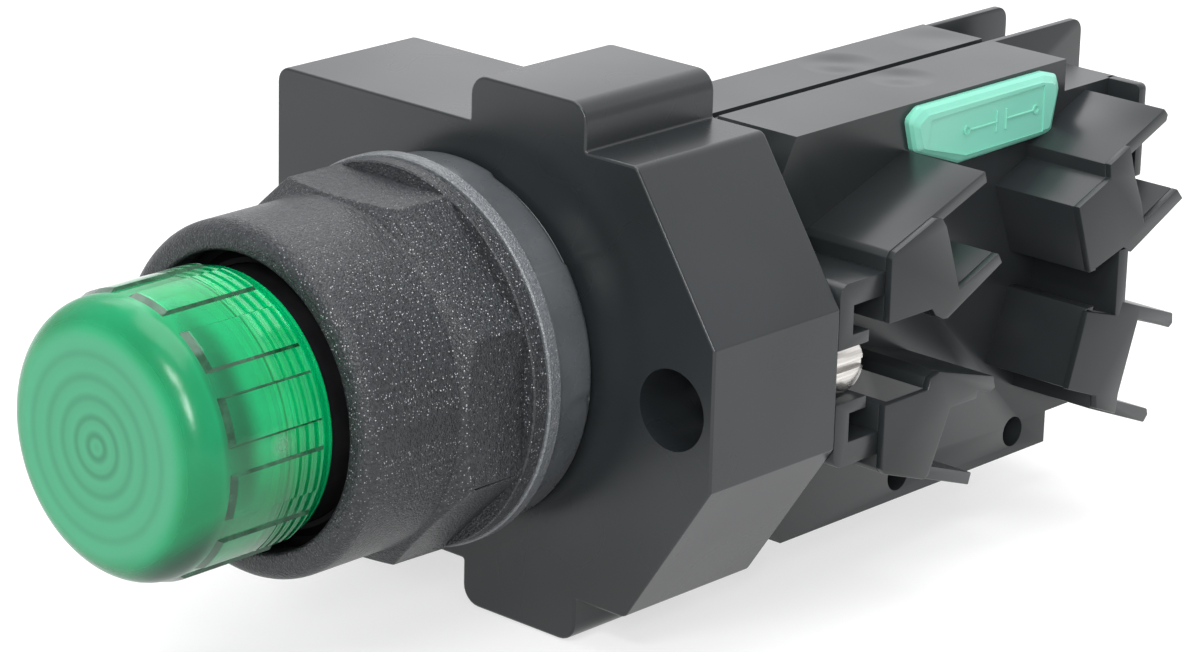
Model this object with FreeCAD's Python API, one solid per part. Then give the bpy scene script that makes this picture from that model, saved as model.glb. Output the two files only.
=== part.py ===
import FreeCAD, Part
import math
import os

# Illuminated push button for a 30.5 mm panel hole, millimetres.
# Origin on the neck axis, in the plane of the housing's front face.
# +X to the right seen from the front, +Y into the panel, +Z up.

V = FreeCAD.Vector
os.makedirs("parts", exist_ok=True)

# Panel hole and neck
panel_hole_dia = 30.5
neck_hole_clearance = 0.25
neck_r = panel_hole_dia / 2 - neck_hole_clearance
thread_pitch = 2.0
thread_depth = 0.5
thread_clearance = 0.08
neck_wall = 2.5
neck_front_y = -24.0
neck_flange_reach = 2.6
neck_flange_r = neck_r + neck_flange_reach
neck_flange_t = 1.8
seal_lip_wall = 1.1
seal_seat_r = neck_r - seal_lip_wall
seal_depth = 3.2
seal_lip_t = 0.7

# Sliding and press-in clearances
slide_clearance = 0.10
seat_clearance = 0.05

# Plunger sleeve and lens
stroke = 4.0
sleeve_wall = 1.8
sleeve_r = neck_r - neck_wall - slide_clearance
sleeve_bore_r = sleeve_r - sleeve_wall
sleeve_front_y = -35.1
sleeve_back_y = 4.4
ledge_reach = 4.6
ledge_r = sleeve_bore_r - ledge_reach
ledge_y = -15.0
ledge_t = 1.2
lens_face_y = -46.1
lens_skirt_y = -29.6
lens_skirt_wall = 0.98
lens_r = sleeve_r + lens_skirt_wall
pad_height = 0.30
pad_r = lens_r + pad_height
pad_count = 12
pad_width_deg = 20.0
pad_start_deg = 10.0
pad_front_y = -42.2
pad_back_y = -30.8
lens_round = 3.7
lens_wall = 1.7
lens_step_clearance = 0.1
lens_step_y = sleeve_front_y - lens_step_clearance
ring_radii = (1.1, 2.75, 4.6, 6.5, 8.65)
ring_cut_w = 0.30
ring_cut_d = 0.10

# Retaining nut, trim ring, gasket
nut_rim_y = -28.8
nut_wall = 2.2
nut_collar_r = neck_r + nut_wall
nut_rim_round = 1.7
nut_lip = 0.65
nut_mouth_r = neck_r - nut_lip
nut_mouth_back_y = -26.4
nut_cone_y = -16.95
nut_corner_y = -15.7
nut_corner_reach = 4.05
nut_corner_r = neck_r + nut_corner_reach
nut_sides = 8
flange_front_y = -9.2
flange_back_y = -7.45
trim_back_y = -5.8
trim_reach = 4.34
trim_r = neck_r + trim_reach
gasket_reach = 3.4
gasket_r = neck_r + gasket_reach
gasket_round = 1.6

# Housing outline, heights measured from the body centre
body_drop = 0.5
body_left_x = -25.5
body_right_x = 32.9
body_half_h = 22.4
slope_run = 10.3
slope_rise = 15.4
slope_x = body_right_x - slope_run
slope_z = body_half_h - slope_rise
tab_x0 = 1.2
tab_x1 = 16.2
tab_rise = 4.6
tab_half_h = body_half_h + tab_rise
body_depth = 18.0
body_wall = 2.0
front_wall = 2.2
outline_round = 1.3
base_t = 2.2
hole_edge = 5.05
hole_x = body_right_x - hole_edge
hole_r = 4.0
hole_tube_wall = 1.4

# Housing fixing screws
screw_edge = 5.1
screw_x = body_left_x + screw_edge
screw_z = body_half_h - screw_edge
tab_mid_x = (tab_x0 + tab_x1) / 2
tab_screw_z = tab_half_h - screw_edge
housing_screw_xz = ((screw_x, screw_z), (screw_x, -screw_z), (tab_mid_x, tab_screw_z), (tab_mid_x, -tab_screw_z))
housing_screw_len = 12.0
m3_r = 1.5
m3_head_r = 2.7
m3_head_h = 1.6
m3_hole_clearance = 0.2
boss_r = 2.9
boss_gap = 0.1

# Pusher yoke
yoke_t = 2.4
yoke_ring_step = 0.1
yoke_ring_r = sleeve_r - yoke_ring_step
spigot_wall = 2.65
spigot_len = 3.0
yoke_bore_r = sleeve_bore_r - seat_clearance - spigot_wall
yoke_arm_x = 20.0
yoke_arm_half_h = 3.2

# Lamp and lamp holder
holder_r = 6.6
holder_front_y = -9.0
holder_foot_x = (-12.0, 7.3)
holder_foot_half_h = 7.3
holder_foot_t = 1.6
socket_r = 5.5
socket_wall = 0.4
socket_front_y = -17.0
socket_back_y = -3.4
lamp_base_r = 4.6
lamp_base_front_y = -18.0
lamp_base_back_y = -7.2
bulb_r = 5.2
bulb_front_y = -40.0
glass_t = 0.6
tip_r = 1.6
tip_h = 1.2
contact_disc_r = 3.4
contact_disc_t = 0.8

# Springs
return_wire_r = 0.35
return_coil_r = 7.2
return_turns = 9.0
socket_wire_r = 0.25
socket_coil_r = 2.2
socket_turns = 3.0
contact_wire_r = 0.18
contact_coil_r = 0.95
contact_turns = 4.0
carrier_wire_r = 0.22
carrier_coil_r = 1.35
carrier_turns = 8.0

# Transformer in the left half
core_edge = 3.6
core_t = 5.0
core_x0 = body_left_x + core_edge
core_x1 = core_x0 + core_t
core_boss_gap = 2.4
core_half_h = screw_z - boss_r - core_boss_gap
core_gap = 1.0
core_front_gap = 2.2
core_y1 = body_depth - base_t - core_gap
core_y0 = front_wall + core_front_gap
core_yoke = 2.6
core_end = 3.4
core_mid_half = 3.0
coil_overhang = 1.3
coil_gap = 0.3
supply_edge = 8.5
supply_x = body_left_x + supply_edge
supply_z = 7.5
supply_w = 6.0
supply_t = 1.0
supply_len = 8.0
supply_rail_h = 5.0

# Contact blocks, heights measured from the block centre
block_drop = 0.6
block_gap = 0.3
block_front_y = body_depth + block_gap
block_bevel_len = 4.7
block_top_y = block_front_y + block_bevel_len
block_bevel_z = 12.5
block_half_h = 20.9
block_len = 47.5
block_rear_y = block_front_y + block_len
tail_len = 8.8
block_tail_y = block_rear_y + tail_len
tail_step = 3.4
block_tail_half_h = block_half_h - tail_step
seam_x = 12.0
partition_half_t = 0.4
seam_gap = 0.08
right_block_w = 10.5
left_block_w = 8.4
right_wall_x = seam_x + right_block_w
left_wall_x = seam_x - left_block_w
block_wall = 1.3
fin_len = 4.6
fin_end_y = block_tail_y + fin_len
fin_t = 0.9
mid_fin_len = 7.4
mid_fin_end_y = block_tail_y + mid_fin_len
fin_low_z = -6.0
fin_round = 1.5
link_hole_r = 1.6
link_hole_at = (22.9, 41.9)
link_hole_y = tuple(block_front_y + d for d in link_hole_at)
link_hole_edge = 2.5
link_hole_z = block_half_h - link_hole_edge
shroud_depth_right = 10.1
shroud_depth_left = 7.0
plate_t = 0.8
hook_top_z = 9.3
hook_bar_t = 2.15
hook_end = 6.7
hook_bar_low_z = 2.7
hook_arm_low_z = 6.9
hook_lip_z = 4.0
hook_lip_len = 4.6
hook_round = 1.2
wall_skin = 1.2
front_screw_at = 3.7
rear_screw_at = 49.7
front_screw_y = block_front_y + front_screw_at
rear_screw_y = block_front_y + rear_screw_at
tail_ear_reach = 4.0
tail_ear_x = right_wall_x + tail_ear_reach
tail_ear_low_z = 9.0
tail_ear_t = 1.2

# Contact set
cavity_at = 8.7
cavity_len = 29.0
cavity_y0 = block_front_y + cavity_at
cavity_y1 = cavity_y0 + cavity_len
cavity_half_h = 16.5
carrier_half_h = 5.0
carrier_reach = 15.0
carrier_back_y = cavity_y0 + carrier_reach
carrier_half_w = 1.7
carrier_offset = 2.4
carrier_slot_half_w = 1.25
carrier_slot_at = 2.0
carrier_slot_y = cavity_y0 + carrier_slot_at
bridge_at = 7.0
bridge_y = cavity_y0 + bridge_at
bridge_t = 0.9
bridge_half_h = 13.2
bridge_half_w = 1.5
contact_clearance = 0.1
strap_t = 0.8
strap_z = 11.5
strap_half_w = 2.0
button_r = 1.4
button_h = 0.5
terminal_thread_r = 1.75
terminal_head_r = 2.55
terminal_head_h = 2.1
block_screw_dx = 4.3
block_screw_dz = 9.5
block_screw_grip = 7.2
terminal_half = 2.45
clamp_t = 0.8
far_terminal_out = 5.5
near_terminal_out = 2.5

# Circuit tag outline on the block side, (distance behind the block's front face, height above the axis)
tag_outline = ((21.1, 18.9), (23.3, 20.0), (42.9, 19.9), (44.7, 19.0), (45.6, 17.9),
               (45.1, 16.4), (44.1, 13.1), (29.4, 12.9), (22.1, 15.5), (21.3, 16.8))
tag_proud = 1.2
tag_bevel = 0.6
tag_seat = 0.6


def at(pts, dz):
    return [(p[0], p[1] + dz) for p in pts]


def behind_front(pts, dz=0.0):
    """Points measured from the blocks' front face, at their place."""
    return [(p[0] + block_front_y, p[1] + dz) for p in pts]


def flip(pts):
    return [(p[0], -p[1]) for p in pts]


def box(x0, x1, y0, y1, z0, z1):
    return Part.makeBox(x1 - x0, y1 - y0, z1 - z0, V(x0, y0, z0))


def rod_y(r, y0, y1, x=0.0, z=0.0):
    return Part.makeCylinder(r, y1 - y0, V(x, y0, z), V(0, 1, 0))


def rod_x(r, x0, x1, y, z):
    return Part.makeCylinder(r, x1 - x0, V(x0, y, z), V(1, 0, 0))


def tube_y(r_out, r_in, y0, y1, x=0.0, z=0.0):
    return rod_y(r_out, y0, y1, x, z).cut(rod_y(r_in, y0 - 1, y1 + 1, x, z))


def polygon(vectors):
    return Part.Face(Part.makePolygon(vectors + [vectors[0]]))


def prism_x(pts, x0, x1):
    face = polygon([V(x0, p[0], p[1]) for p in pts])
    return face.extrude(V(x1 - x0, 0, 0))


def prism_y(pts, y0, y1):
    face = polygon([V(p[0], y0, p[1]) for p in pts])
    return face.extrude(V(0, y1 - y0, 0))


def turned(pts):
    face = polygon([V(p[0], p[1], 0) for p in pts])
    return face.revolve(V(0, 0, 0), V(0, 1, 0), 360)


def arc_pts(cx, cy, r, a0, a1, steps):
    out = []
    for i in range(steps + 1):
        a = math.radians(a0 + (a1 - a0) * i / steps)
        out.append((cx + r * math.cos(a), cy + r * math.sin(a)))
    return out


def fillet_where(shape, r, test):
    edges = [e for e in shape.Edges if test(e)]
    return shape.makeFillet(r, edges)


def edge_along(edge, axis, length=0.0):
    p, q = edge.Vertexes[0].Point, edge.Vertexes[-1].Point
    d = q.sub(p)
    if d.Length < 1e-6 or d.Length < length:
        return False
    return abs(abs(getattr(d, axis)) - d.Length) < 1e-6


def spring_y(coil_r, wire_r, y0, y1, turns):
    pitch = (y1 - y0 - 2 * wire_r) / turns
    helix = Part.makeHelix(pitch, pitch * turns, coil_r)
    profile = Part.Wire(Part.makeCircle(wire_r, V(coil_r, 0, 0), V(0, 1, 0)))
    coil = Part.Wire(helix).makePipeShell([profile], True, True)
    coil.rotate(V(0, 0, 0), V(1, 0, 0), -90)
    coil.translate(V(0, y0 + wire_r, 0))
    return coil


def save(name, shape):
    if isinstance(shape, list):
        shape = Part.makeCompound(shape)
    shape.exportStep("parts/" + name + ".step")


# Lens cap
def lens_blank():
    r0, y0 = lens_r - lens_round, lens_face_y + lens_round
    outer = [(0, lens_face_y)] + [(r0 + p[0], y0 + p[1]) for p in arc_pts(0, 0, lens_round, -90, 0, 10)]
    inner_r = lens_r - lens_wall
    thread_seat = sleeve_r + seat_clearance
    round_in = lens_round - lens_wall
    back = [(lens_r, lens_skirt_y), (thread_seat, lens_skirt_y), (thread_seat, lens_step_y), (inner_r, lens_step_y)]
    dome = arc_pts(inner_r - round_in, lens_face_y + lens_wall + round_in, round_in, 0, -90, 6)
    return turned(outer + back + dome + [(0, lens_face_y + lens_wall)])


def lens_pad(start):
    ring = tube_y(pad_r, lens_r - 0.3, pad_front_y, pad_back_y)
    reach = pad_r * 2
    a0, a1 = math.radians(start), math.radians(start + pad_width_deg)
    wedge = polygon([V(0, pad_front_y, 0), V(reach * math.cos(a0), pad_front_y, reach * math.sin(a0)),
                     V(reach * math.cos(a1), pad_front_y, reach * math.sin(a1))])
    return ring.common(wedge.extrude(V(0, pad_back_y - pad_front_y, 0)))


def lens_cap():
    cap = lens_blank()
    pitch = 360.0 / pad_count
    cap = cap.fuse([lens_pad(pad_start_deg + i * pitch) for i in range(pad_count)])
    for r in ring_radii:
        cap = cap.cut(tube_y(r + ring_cut_w / 2, r - ring_cut_w / 2, lens_face_y - 1, lens_face_y + ring_cut_d))
    return cap


# Operator: neck, sleeve, yoke, seal, spring
def thread_rings(body, r, y0, y1):
    """Plain V rings at the thread's pitch in place of its helix."""
    count = int((y1 - y0) / thread_pitch)
    for i in range(count):
        y = y0 + (i + 0.5) * thread_pitch
        half = thread_depth * 1.2
        body = body.cut(turned([(r + 0.1, y - half), (r + 0.1, y + half), (r - thread_depth, y)]))
    return body


def operator_bushing():
    inside = sleeve_r + slide_clearance
    neck = tube_y(neck_r, inside, neck_front_y, front_wall + 0.5)
    flange = tube_y(neck_flange_r, inside, front_wall, front_wall + neck_flange_t)
    body = neck.fuse(flange)
    body = body.cut(rod_y(seal_seat_r, neck_front_y - 1, neck_front_y + seal_depth + seat_clearance))
    return thread_rings(body, neck_r, neck_front_y + 1.0, flange_back_y)


def sleeve_rear_y():
    return sleeve_back_y + seat_clearance


def plunger_sleeve():
    tube = tube_y(sleeve_r, sleeve_bore_r, sleeve_front_y, sleeve_back_y)
    return tube.fuse(tube_y(sleeve_bore_r + 0.2, ledge_r, ledge_y - ledge_t, ledge_y))


def pusher_yoke():
    y0 = sleeve_rear_y()
    y1 = y0 + yoke_t
    ring = rod_y(yoke_ring_r, y0, y1)
    arm = box(0, yoke_arm_x, y0, y1, -yoke_arm_half_h, yoke_arm_half_h)
    spigot = tube_y(sleeve_bore_r - seat_clearance, yoke_bore_r, y0 - spigot_len, y0 + 0.5)
    return ring.fuse([arm, spigot]).cut(rod_y(yoke_bore_r, y0 - spigot_len - 1, y1 + 1))


def lip_seal():
    """Rubber ring in the neck's mouth, its front lip wiping the sleeve."""
    outer = seal_seat_r - seat_clearance
    inner = sleeve_r + slide_clearance
    y0 = neck_front_y
    y1 = neck_front_y + seal_depth
    t = seal_lip_t
    pts = [(outer, y0), (outer, y1), (inner, y1), (inner, y1 - t), (inner + 0.5, y1 - t - 0.3),
           (inner + 0.5, y0 + 0.4), (inner, y0 - 0.3), (inner, y0 - 1.0), (inner + 0.5, y0 - 1.0)]
    return turned(pts)


def return_spring():
    y0 = ledge_y + seat_clearance
    y1 = body_depth - base_t - holder_foot_t - 2 * seat_clearance
    return spring_y(return_coil_r, return_wire_r, y0, y1, return_turns)


# Retaining nut, trim ring, gasket
def nut_blank():
    bore = neck_r + thread_clearance
    rim = arc_pts(nut_collar_r - nut_rim_round, nut_rim_y + nut_rim_round, nut_rim_round, 0, -90, 8)
    pts = [(nut_collar_r, nut_cone_y)] + rim
    pts += [(nut_mouth_r + 0.25, nut_rim_y + 0.1), (nut_mouth_r, nut_rim_y + 0.6), (nut_mouth_r, nut_mouth_back_y)]
    pts += [(bore, nut_mouth_back_y), (bore, flange_back_y), (nut_corner_r, flange_back_y), (nut_corner_r, flange_front_y)]
    pts += [(nut_corner_r, nut_corner_y)]
    return turned(pts)


def nut_flats():
    apothem = nut_corner_r * math.cos(math.pi / nut_sides)
    big = nut_corner_r * 1.5
    cutters = []
    for i in range(nut_sides):
        slab = box(apothem, big, nut_cone_y - 2, flange_front_y, -big, big)
        slab.rotate(V(0, 0, 0), V(0, 1, 0), i * 360.0 / nut_sides)
        cutters.append(slab)
    return cutters


def retaining_nut():
    nut = nut_blank()
    for cutter in nut_flats():
        nut = nut.cut(cutter)
    return nut


def trim_ring():
    bore = neck_r + seat_clearance * 3
    y0 = flange_back_y + seat_clearance
    return tube_y(trim_r, bore, y0, trim_back_y)


def panel_gasket():
    bore = neck_r + seat_clearance * 4
    y0 = trim_back_y + seat_clearance
    front = arc_pts(gasket_r - gasket_round, y0 + gasket_round, gasket_round, -90, 0, 6)
    back = arc_pts(gasket_r - gasket_round, -gasket_round, gasket_round, 0, 90, 6)
    return turned([(bore, y0)] + front + back + [(bore, 0.0)])


# Housing
def outline(offset):
    """Body outline drawn in by a wall, heights from the body centre."""
    k = offset
    rise = body_half_h - slope_z
    run = body_right_x - slope_x
    length = math.hypot(rise, run)
    sx = slope_x - k * (length - rise) / run
    sz = slope_z - k * (length - run) / rise
    top = [(body_right_x - k, sz), (sx, body_half_h - k), (tab_x1 - k, body_half_h - k), (tab_x1 - k, tab_half_h - k),
           (tab_x0 + k, tab_half_h - k), (tab_x0 + k, body_half_h - k), (body_left_x + k, body_half_h - k)]
    return top + [(p[0], -p[1]) for p in reversed(top)]


def housing_shell():
    solid = prism_y(at(outline(0), -body_drop), 0, body_depth)
    solid = fillet_where(solid, outline_round, outer_corner)
    hollow = prism_y(at(outline(body_wall), -body_drop), front_wall, body_depth + 1)
    shell = solid.cut(hollow)
    shell = shell.fuse(rod_y(hole_r + hole_tube_wall, 0.5, body_depth - base_t - boss_gap, hole_x, -body_drop))
    for x, z in housing_screw_xz:
        shell = shell.fuse(rod_y(boss_r, 1.0, body_depth - base_t - boss_gap, x, z - body_drop))
    shell = shell.common(solid)
    shell = shell.cut(rod_y(hole_r, -1, body_depth + 1, hole_x, -body_drop))
    shell = shell.cut(rod_y(neck_r + seat_clearance, -1, front_wall + 1))
    for x, z in housing_screw_xz:
        shell = shell.cut(rod_y(m3_r + seat_clearance, body_depth - housing_screw_len - 1, body_depth, x, z - body_drop))
    return shell


def outer_corner(edge):
    if not edge_along(edge, "y", body_depth * 0.9):
        return False
    p = edge.Vertexes[0].Point
    on_tab = abs(abs(p.z + body_drop) - tab_half_h) < 0.01
    return on_tab or abs(p.x - body_left_x) < 0.01


def housing_base():
    y0 = body_depth - base_t
    plate = prism_y(at(outline(body_wall + seat_clearance * 2), -body_drop), y0, body_depth)
    plate = plate.cut(rod_y(hole_r, y0 - 1, body_depth + 1, hole_x, -body_drop))
    for x, z in housing_screw_xz:
        plate = plate.cut(rod_y(m3_r + m3_hole_clearance, y0 - 1, body_depth + 1, x, z - body_drop))
        plate = plate.cut(rod_y(m3_head_r + m3_hole_clearance, body_depth - m3_head_h - 0.1, body_depth + 1, x, z - body_drop))
    for x in carrier_axes():
        plate = plate.cut(carrier_window(x, y0 - 1, body_depth + 1))
    for x, z in block_screw_xz():
        plate = plate.cut(rod_y(m3_r + m3_hole_clearance, y0 - 1, body_depth + 1, x, z))
        plate = plate.cut(rod_y(m3_head_r + m3_hole_clearance, y0 - 1, y0 + m3_head_h + 0.1, x, z))
    rail = box(supply_x - supply_w / 2 - 1.2, supply_x + supply_w / 2 + 1.2, body_depth - 0.1, body_depth + supply_rail_h,
               -body_drop - 1.0, -body_drop + 1.0)
    plate = plate.fuse(rail)
    for s in (1, -1):
        slot_z = s * supply_z - body_drop
        plate = plate.cut(rod_y(terminal_thread_r + 0.05, y0 - 1, body_depth + 1, supply_x, slot_z))
    return plate


def housing_screws():
    out = []
    for x, z in housing_screw_xz:
        shank = rod_y(m3_r, body_depth - housing_screw_len, body_depth - m3_head_h, x, z - body_drop)
        head = rod_y(m3_head_r, body_depth - m3_head_h, body_depth, x, z - body_drop)
        slot = box(x - 3, x + 3, body_depth - 0.6, body_depth + 1, z - body_drop - 0.4, z - body_drop + 0.4)
        out.append(shank.fuse(head).cut(slot))
    return out


# Lamp, socket and holder
def lamp_holder():
    y1 = body_depth - base_t - seat_clearance
    post = rod_y(holder_r, holder_front_y, y1 - 0.5)
    foot = box(holder_foot_x[0], holder_foot_x[1], y1 - holder_foot_t, y1, -holder_foot_half_h, holder_foot_half_h)
    body = post.fuse(foot)
    body = body.cut(rod_y(socket_r + seat_clearance, holder_front_y - 1, socket_back_y + seat_clearance))
    well = rod_y(contact_disc_r + 0.3, socket_back_y - 1, socket_back_y + 6.0)
    return body.cut(well)


def lamp_socket():
    tube = tube_y(socket_r, socket_r - socket_wall, socket_front_y, socket_back_y)
    for s in (1, -1):
        slot = box(-0.8, 0.8, socket_front_y - 1, socket_front_y + 5.0, min(0, s * 8), max(0, s * 8))
        tube = tube.cut(slot)
    return tube


def lamp_base():
    cup = rod_y(lamp_base_r, lamp_base_front_y, lamp_base_back_y)
    tip = rod_y(tip_r, lamp_base_back_y - 0.1, lamp_base_back_y + tip_h)
    pins = rod_pin(1).fuse(rod_pin(-1))
    return cup.fuse([tip, pins]).cut(rod_y(bulb_neck_r() + seat_clearance, lamp_base_front_y - 1, lamp_base_front_y + 5.0))


def rod_pin(side):
    z0 = side * (lamp_base_r - 0.5)
    z1 = side * (socket_r - socket_wall - seat_clearance)
    low = min(z0, z1)
    return Part.makeCylinder(0.6, abs(z1 - z0), V(0, -13.0, low), V(0, 0, 1))


def bulb_neck_r():
    return lamp_base_r - 0.5


def lamp_bulb():
    top = bulb_front_y + bulb_r
    neck = bulb_neck_r()
    outer = [(0, bulb_front_y)] + arc_pts(0, top, bulb_r, -80, 0, 8)
    outer += [(bulb_r, lamp_base_front_y - 4.0), (neck, lamp_base_front_y - 1.5), (neck, lamp_base_front_y + 4.5)]
    k = glass_t
    inner = [(neck - k, lamp_base_front_y + 4.5), (neck - k, lamp_base_front_y - 1.5), (bulb_r - k, lamp_base_front_y - 4.0)]
    inner += arc_pts(0, top, bulb_r - k, 0, -80, 8) + [(0, bulb_front_y + k)]
    return turned(outer + inner)


def socket_contact():
    y0 = lamp_base_back_y + tip_h + seat_clearance
    return rod_y(contact_disc_r, y0, y0 + contact_disc_t)


def socket_spring():
    y0 = lamp_base_back_y + tip_h + contact_disc_t + 0.15
    return spring_y(socket_coil_r, socket_wire_r, y0, socket_back_y + 5.9, socket_turns)


# Transformer and supply terminals
def transformer_core():
    core = box(core_x0, core_x1, core_y0, core_y1, -core_half_h - body_drop, core_half_h - body_drop)
    for s in (1, -1):
        z0, z1 = core_mid_half, core_half_h - core_end
        low = min(s * z0, s * z1) - body_drop
        high = max(s * z0, s * z1) - body_drop
        core = core.cut(box(core_x0 - 1, core_x1 + 1, core_y0 + core_yoke, core_y1 - core_yoke, low, high))
    return core


def transformer_coil():
    y0, y1 = core_y0 + core_yoke + coil_gap, core_y1 - core_yoke - coil_gap
    half = core_half_h - core_end - coil_gap
    body = box(core_x0 - coil_overhang, core_x1 + coil_overhang, y0, y1, -half - body_drop, half - body_drop)
    body = fillet_where(body, 1.2, lambda e: edge_along(e, "y"))
    mid = core_mid_half + seat_clearance
    k = seat_clearance
    return body.cut(box(core_x0 - k, core_x1 + k, y0 - 1, y1 + 1, -mid - body_drop, mid - body_drop))


def supply_terminals():
    out = []
    for s in (1, -1):
        z = s * supply_z - body_drop
        y0 = body_depth + seat_clearance
        plate = box(supply_x - supply_w / 2, supply_x + supply_w / 2, y0, y0 + supply_t, z - supply_len / 2, z + supply_len / 2)
        out.append(plate.cut(rod_y(terminal_thread_r + 0.05, y0 - 1, y0 + 3, supply_x, z)))
    return out


def supply_screws():
    out = []
    for s in (1, -1):
        z = s * supply_z - body_drop
        y0 = body_depth + supply_t + seat_clearance * 2
        shank = rod_y(terminal_thread_r, body_depth - base_t, y0 + 0.2, supply_x, z)
        head = rod_y(terminal_head_r, y0, y0 + terminal_head_h, supply_x, z)
        slot = box(supply_x - 4, supply_x + 4, y0 + terminal_head_h - 0.8, y0 + 4, z - 0.45, z + 0.45)
        out.append(shank.fuse(head).cut(slot))
    return out


# Contact blocks
def block_profile():
    top = [(block_front_y, block_bevel_z), (block_top_y, block_half_h), (block_rear_y, block_half_h),
           (block_rear_y, block_tail_half_h), (block_tail_y, block_tail_half_h)]
    return top + [(p[0], -p[1]) for p in reversed(top)]


def hood_front():
    """Front upper shroud: slab, front wall and the closing plate outline."""
    slab = [(6.6, 10.7), (7.1, 11.3), (21.5, 16.3), (21.9, 15.1), (7.9, 10.1), (7.9, 4.2), (6.6, 4.2)]
    arm = [(13.2, 4.2), (13.8, 3.4), (14.9, 2.8), (15.7, 2.7), (24, 6.6), (23.3, 7.7), (16.3, 4.9), (15.3, 4.5)]
    plate = [(6.6, 4.2), (6.6, 10.7), (7.1, 11.3), (13.2, 13.4), (14.1, 13.2), (14.8, 12.3), (15.4, 10.8),
             (17.3, 5.35), (23.3, 7.7), (24, 6.6), (15.7, 2.7), (14.9, 2.8), (13.8, 3.4), (13.2, 4.2)]
    return slab, arm, plate


def hood_rear():
    """Rear upper shroud: lower front part, step, slab and closing plate outline."""
    slab = [(36.5, 9.6), (41.6, 11.6), (41.3, 13.1), (51.1, 17.0), (51.8, 16.3), (51.6, 15.6), (42.9, 12.1),
            (43.1, 10.6), (37.9, 8.6), (41, 1.9), (39.7, 1.9)]
    arm = [(39.3, 2.9), (39.7, 1.9), (44.35, 3.8), (45.7, 3.0), (54.3, 7.0), (53.2, 8.2), (45.9, 5.0)]
    plate = [(36.3, 9.7), (41.5, 11.7), (41.2, 13.2), (44.45, 14.5), (45.5, 11.3), (47, 8.1), (47.7, 5.8),
             (53.2, 8.2), (54.3, 7.0), (45.7, 3.0), (44.35, 3.8), (38.9, 2.3)]
    return slab, arm, plate


def hook_profile():
    corner = arc_pts(hook_round, hook_top_z - hook_round, hook_round, 180, 90, 4)
    return [(0.0, hook_bar_low_z)] + corner + [(hook_end, hook_top_z), (hook_end, hook_arm_low_z),
            (hook_bar_t, hook_arm_low_z), (hook_bar_t, hook_lip_z), (hook_lip_len, hook_lip_z), (hook_lip_len, hook_bar_low_z)]


def spread(x0, depth, side):
    """X range of a piece that grows outward from the wall."""
    return tuple(sorted((x0, x0 + side * depth)))


def shroud_post(x0, depth, side):
    """Web that ties the two rear shrouds together."""
    outline = [(43.7, -4.2), (43.7, 3.6), (45.3, 3.6), (45.3, -4.2)]
    xa, xb = spread(x0, depth + (plate_t if side > 0 else 0.0), side)
    return prism_x(behind_front(outline, -block_drop), xa, xb)


def shroud_parts(x0, depth, side, lines, mirror):
    """One shroud: walls that grow from the block, and the plate that closes them."""
    xa, xb = spread(x0, depth, side)
    plate_a, plate_b = sorted((x0 + side * depth, x0 + side * (depth + plate_t)))
    solids = []
    for pts, is_plate in lines:
        pts = behind_front(flip(pts) if mirror else pts, -block_drop)
        solids.append(prism_x(pts, plate_a, plate_b) if is_plate else prism_x(pts, xa, xb))
    return solids


def shroud_set(x0, depth, side):
    """Front upper, front lower and joined rear shrouds of one block."""
    front_lines = [(hood_front()[0], False), (hood_front()[1], False), (hood_front()[2], True), (hook_profile(), False)]
    rear_lines = [(hood_rear()[0], False), (hood_rear()[1], False), (hood_rear()[2], True)]
    rear = [shroud_post(x0, depth, side)]
    out = []
    for mirror in (False, True):
        front = shroud_parts(x0, depth, side, front_lines, mirror)
        out.append(front[0].fuse(front[1:]))
        rear += shroud_parts(x0, depth, side, rear_lines, mirror)
    return out + [rear[0].fuse(rear[1:])]


def terminal_shrouds(wall_x, side, depth):
    out = []
    for solid in shroud_set(wall_x, depth, side):
        for tool in strap_channels(wall_x, side):
            solid = solid.cut(tool)
        if side > 0:
            solid = solid.cut(tag_seat_shape())
        out.append(solid.removeSplitter())
    return out


def terminals(side):
    """Wire terminals of one pole: (y, reach of the plate's outer face from the wall)."""
    front_out = far_terminal_out if side > 0 else near_terminal_out
    return ((front_screw_y, front_out), (rear_screw_y, near_terminal_out))


def terminal_pad(wall_x, side, y, out):
    xa, xb = spread(wall_x, out - strap_t - seat_clearance, side)
    h = terminal_half + 0.1
    return box(xa, xb, y - h - 0.1, y + h, -h - block_drop, h - block_drop)


def tail_ear():
    """Short upright ear on the right block's tail."""
    ear = box(right_wall_x, tail_ear_x, block_tail_y - tail_ear_t, block_tail_y, tail_ear_low_z - block_drop, block_tail_half_h - block_drop)
    return fillet_where(ear, fin_round, lambda e: edge_along(e, "y") and e.BoundBox.XMin > right_wall_x + 0.1 and e.BoundBox.ZMin > 10)


def block_lugs(wall_x, side):
    """Lugs on a block's side wall: a pad under each wire terminal, and the right tail's ear."""
    out = []
    for y, reach in terminals(side):
        pad = terminal_pad(wall_x, side, y, reach)
        for tool in strap_channels(wall_x, side):
            pad = pad.cut(tool)
        out.append(pad.removeSplitter())
    return out + ([tail_ear()] if side > 0 else [])


def cavity_x(wall_x, side, past_seam=0.0):
    seam = seam_x + side * (partition_half_t + seam_gap)
    return sorted((seam - side * past_seam, wall_x - side * wall_skin))


def block_cavity(wall_x, side):
    x0, x1 = cavity_x(wall_x, side, 1.0)
    return box(x0, x1, cavity_y0, cavity_y1, -cavity_half_h - block_drop, cavity_half_h - block_drop)


def tail_room(wall_x, side):
    """Pocket in the rear tail, open to the back."""
    x0, x1 = sorted((seam_x + side * (partition_half_t + seam_gap + wall_skin), wall_x - side * wall_skin))
    h = block_tail_half_h - wall_skin
    return box(x0, x1, block_rear_y - 1.0, block_tail_y + 1, -h - block_drop, h - block_drop)


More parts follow.
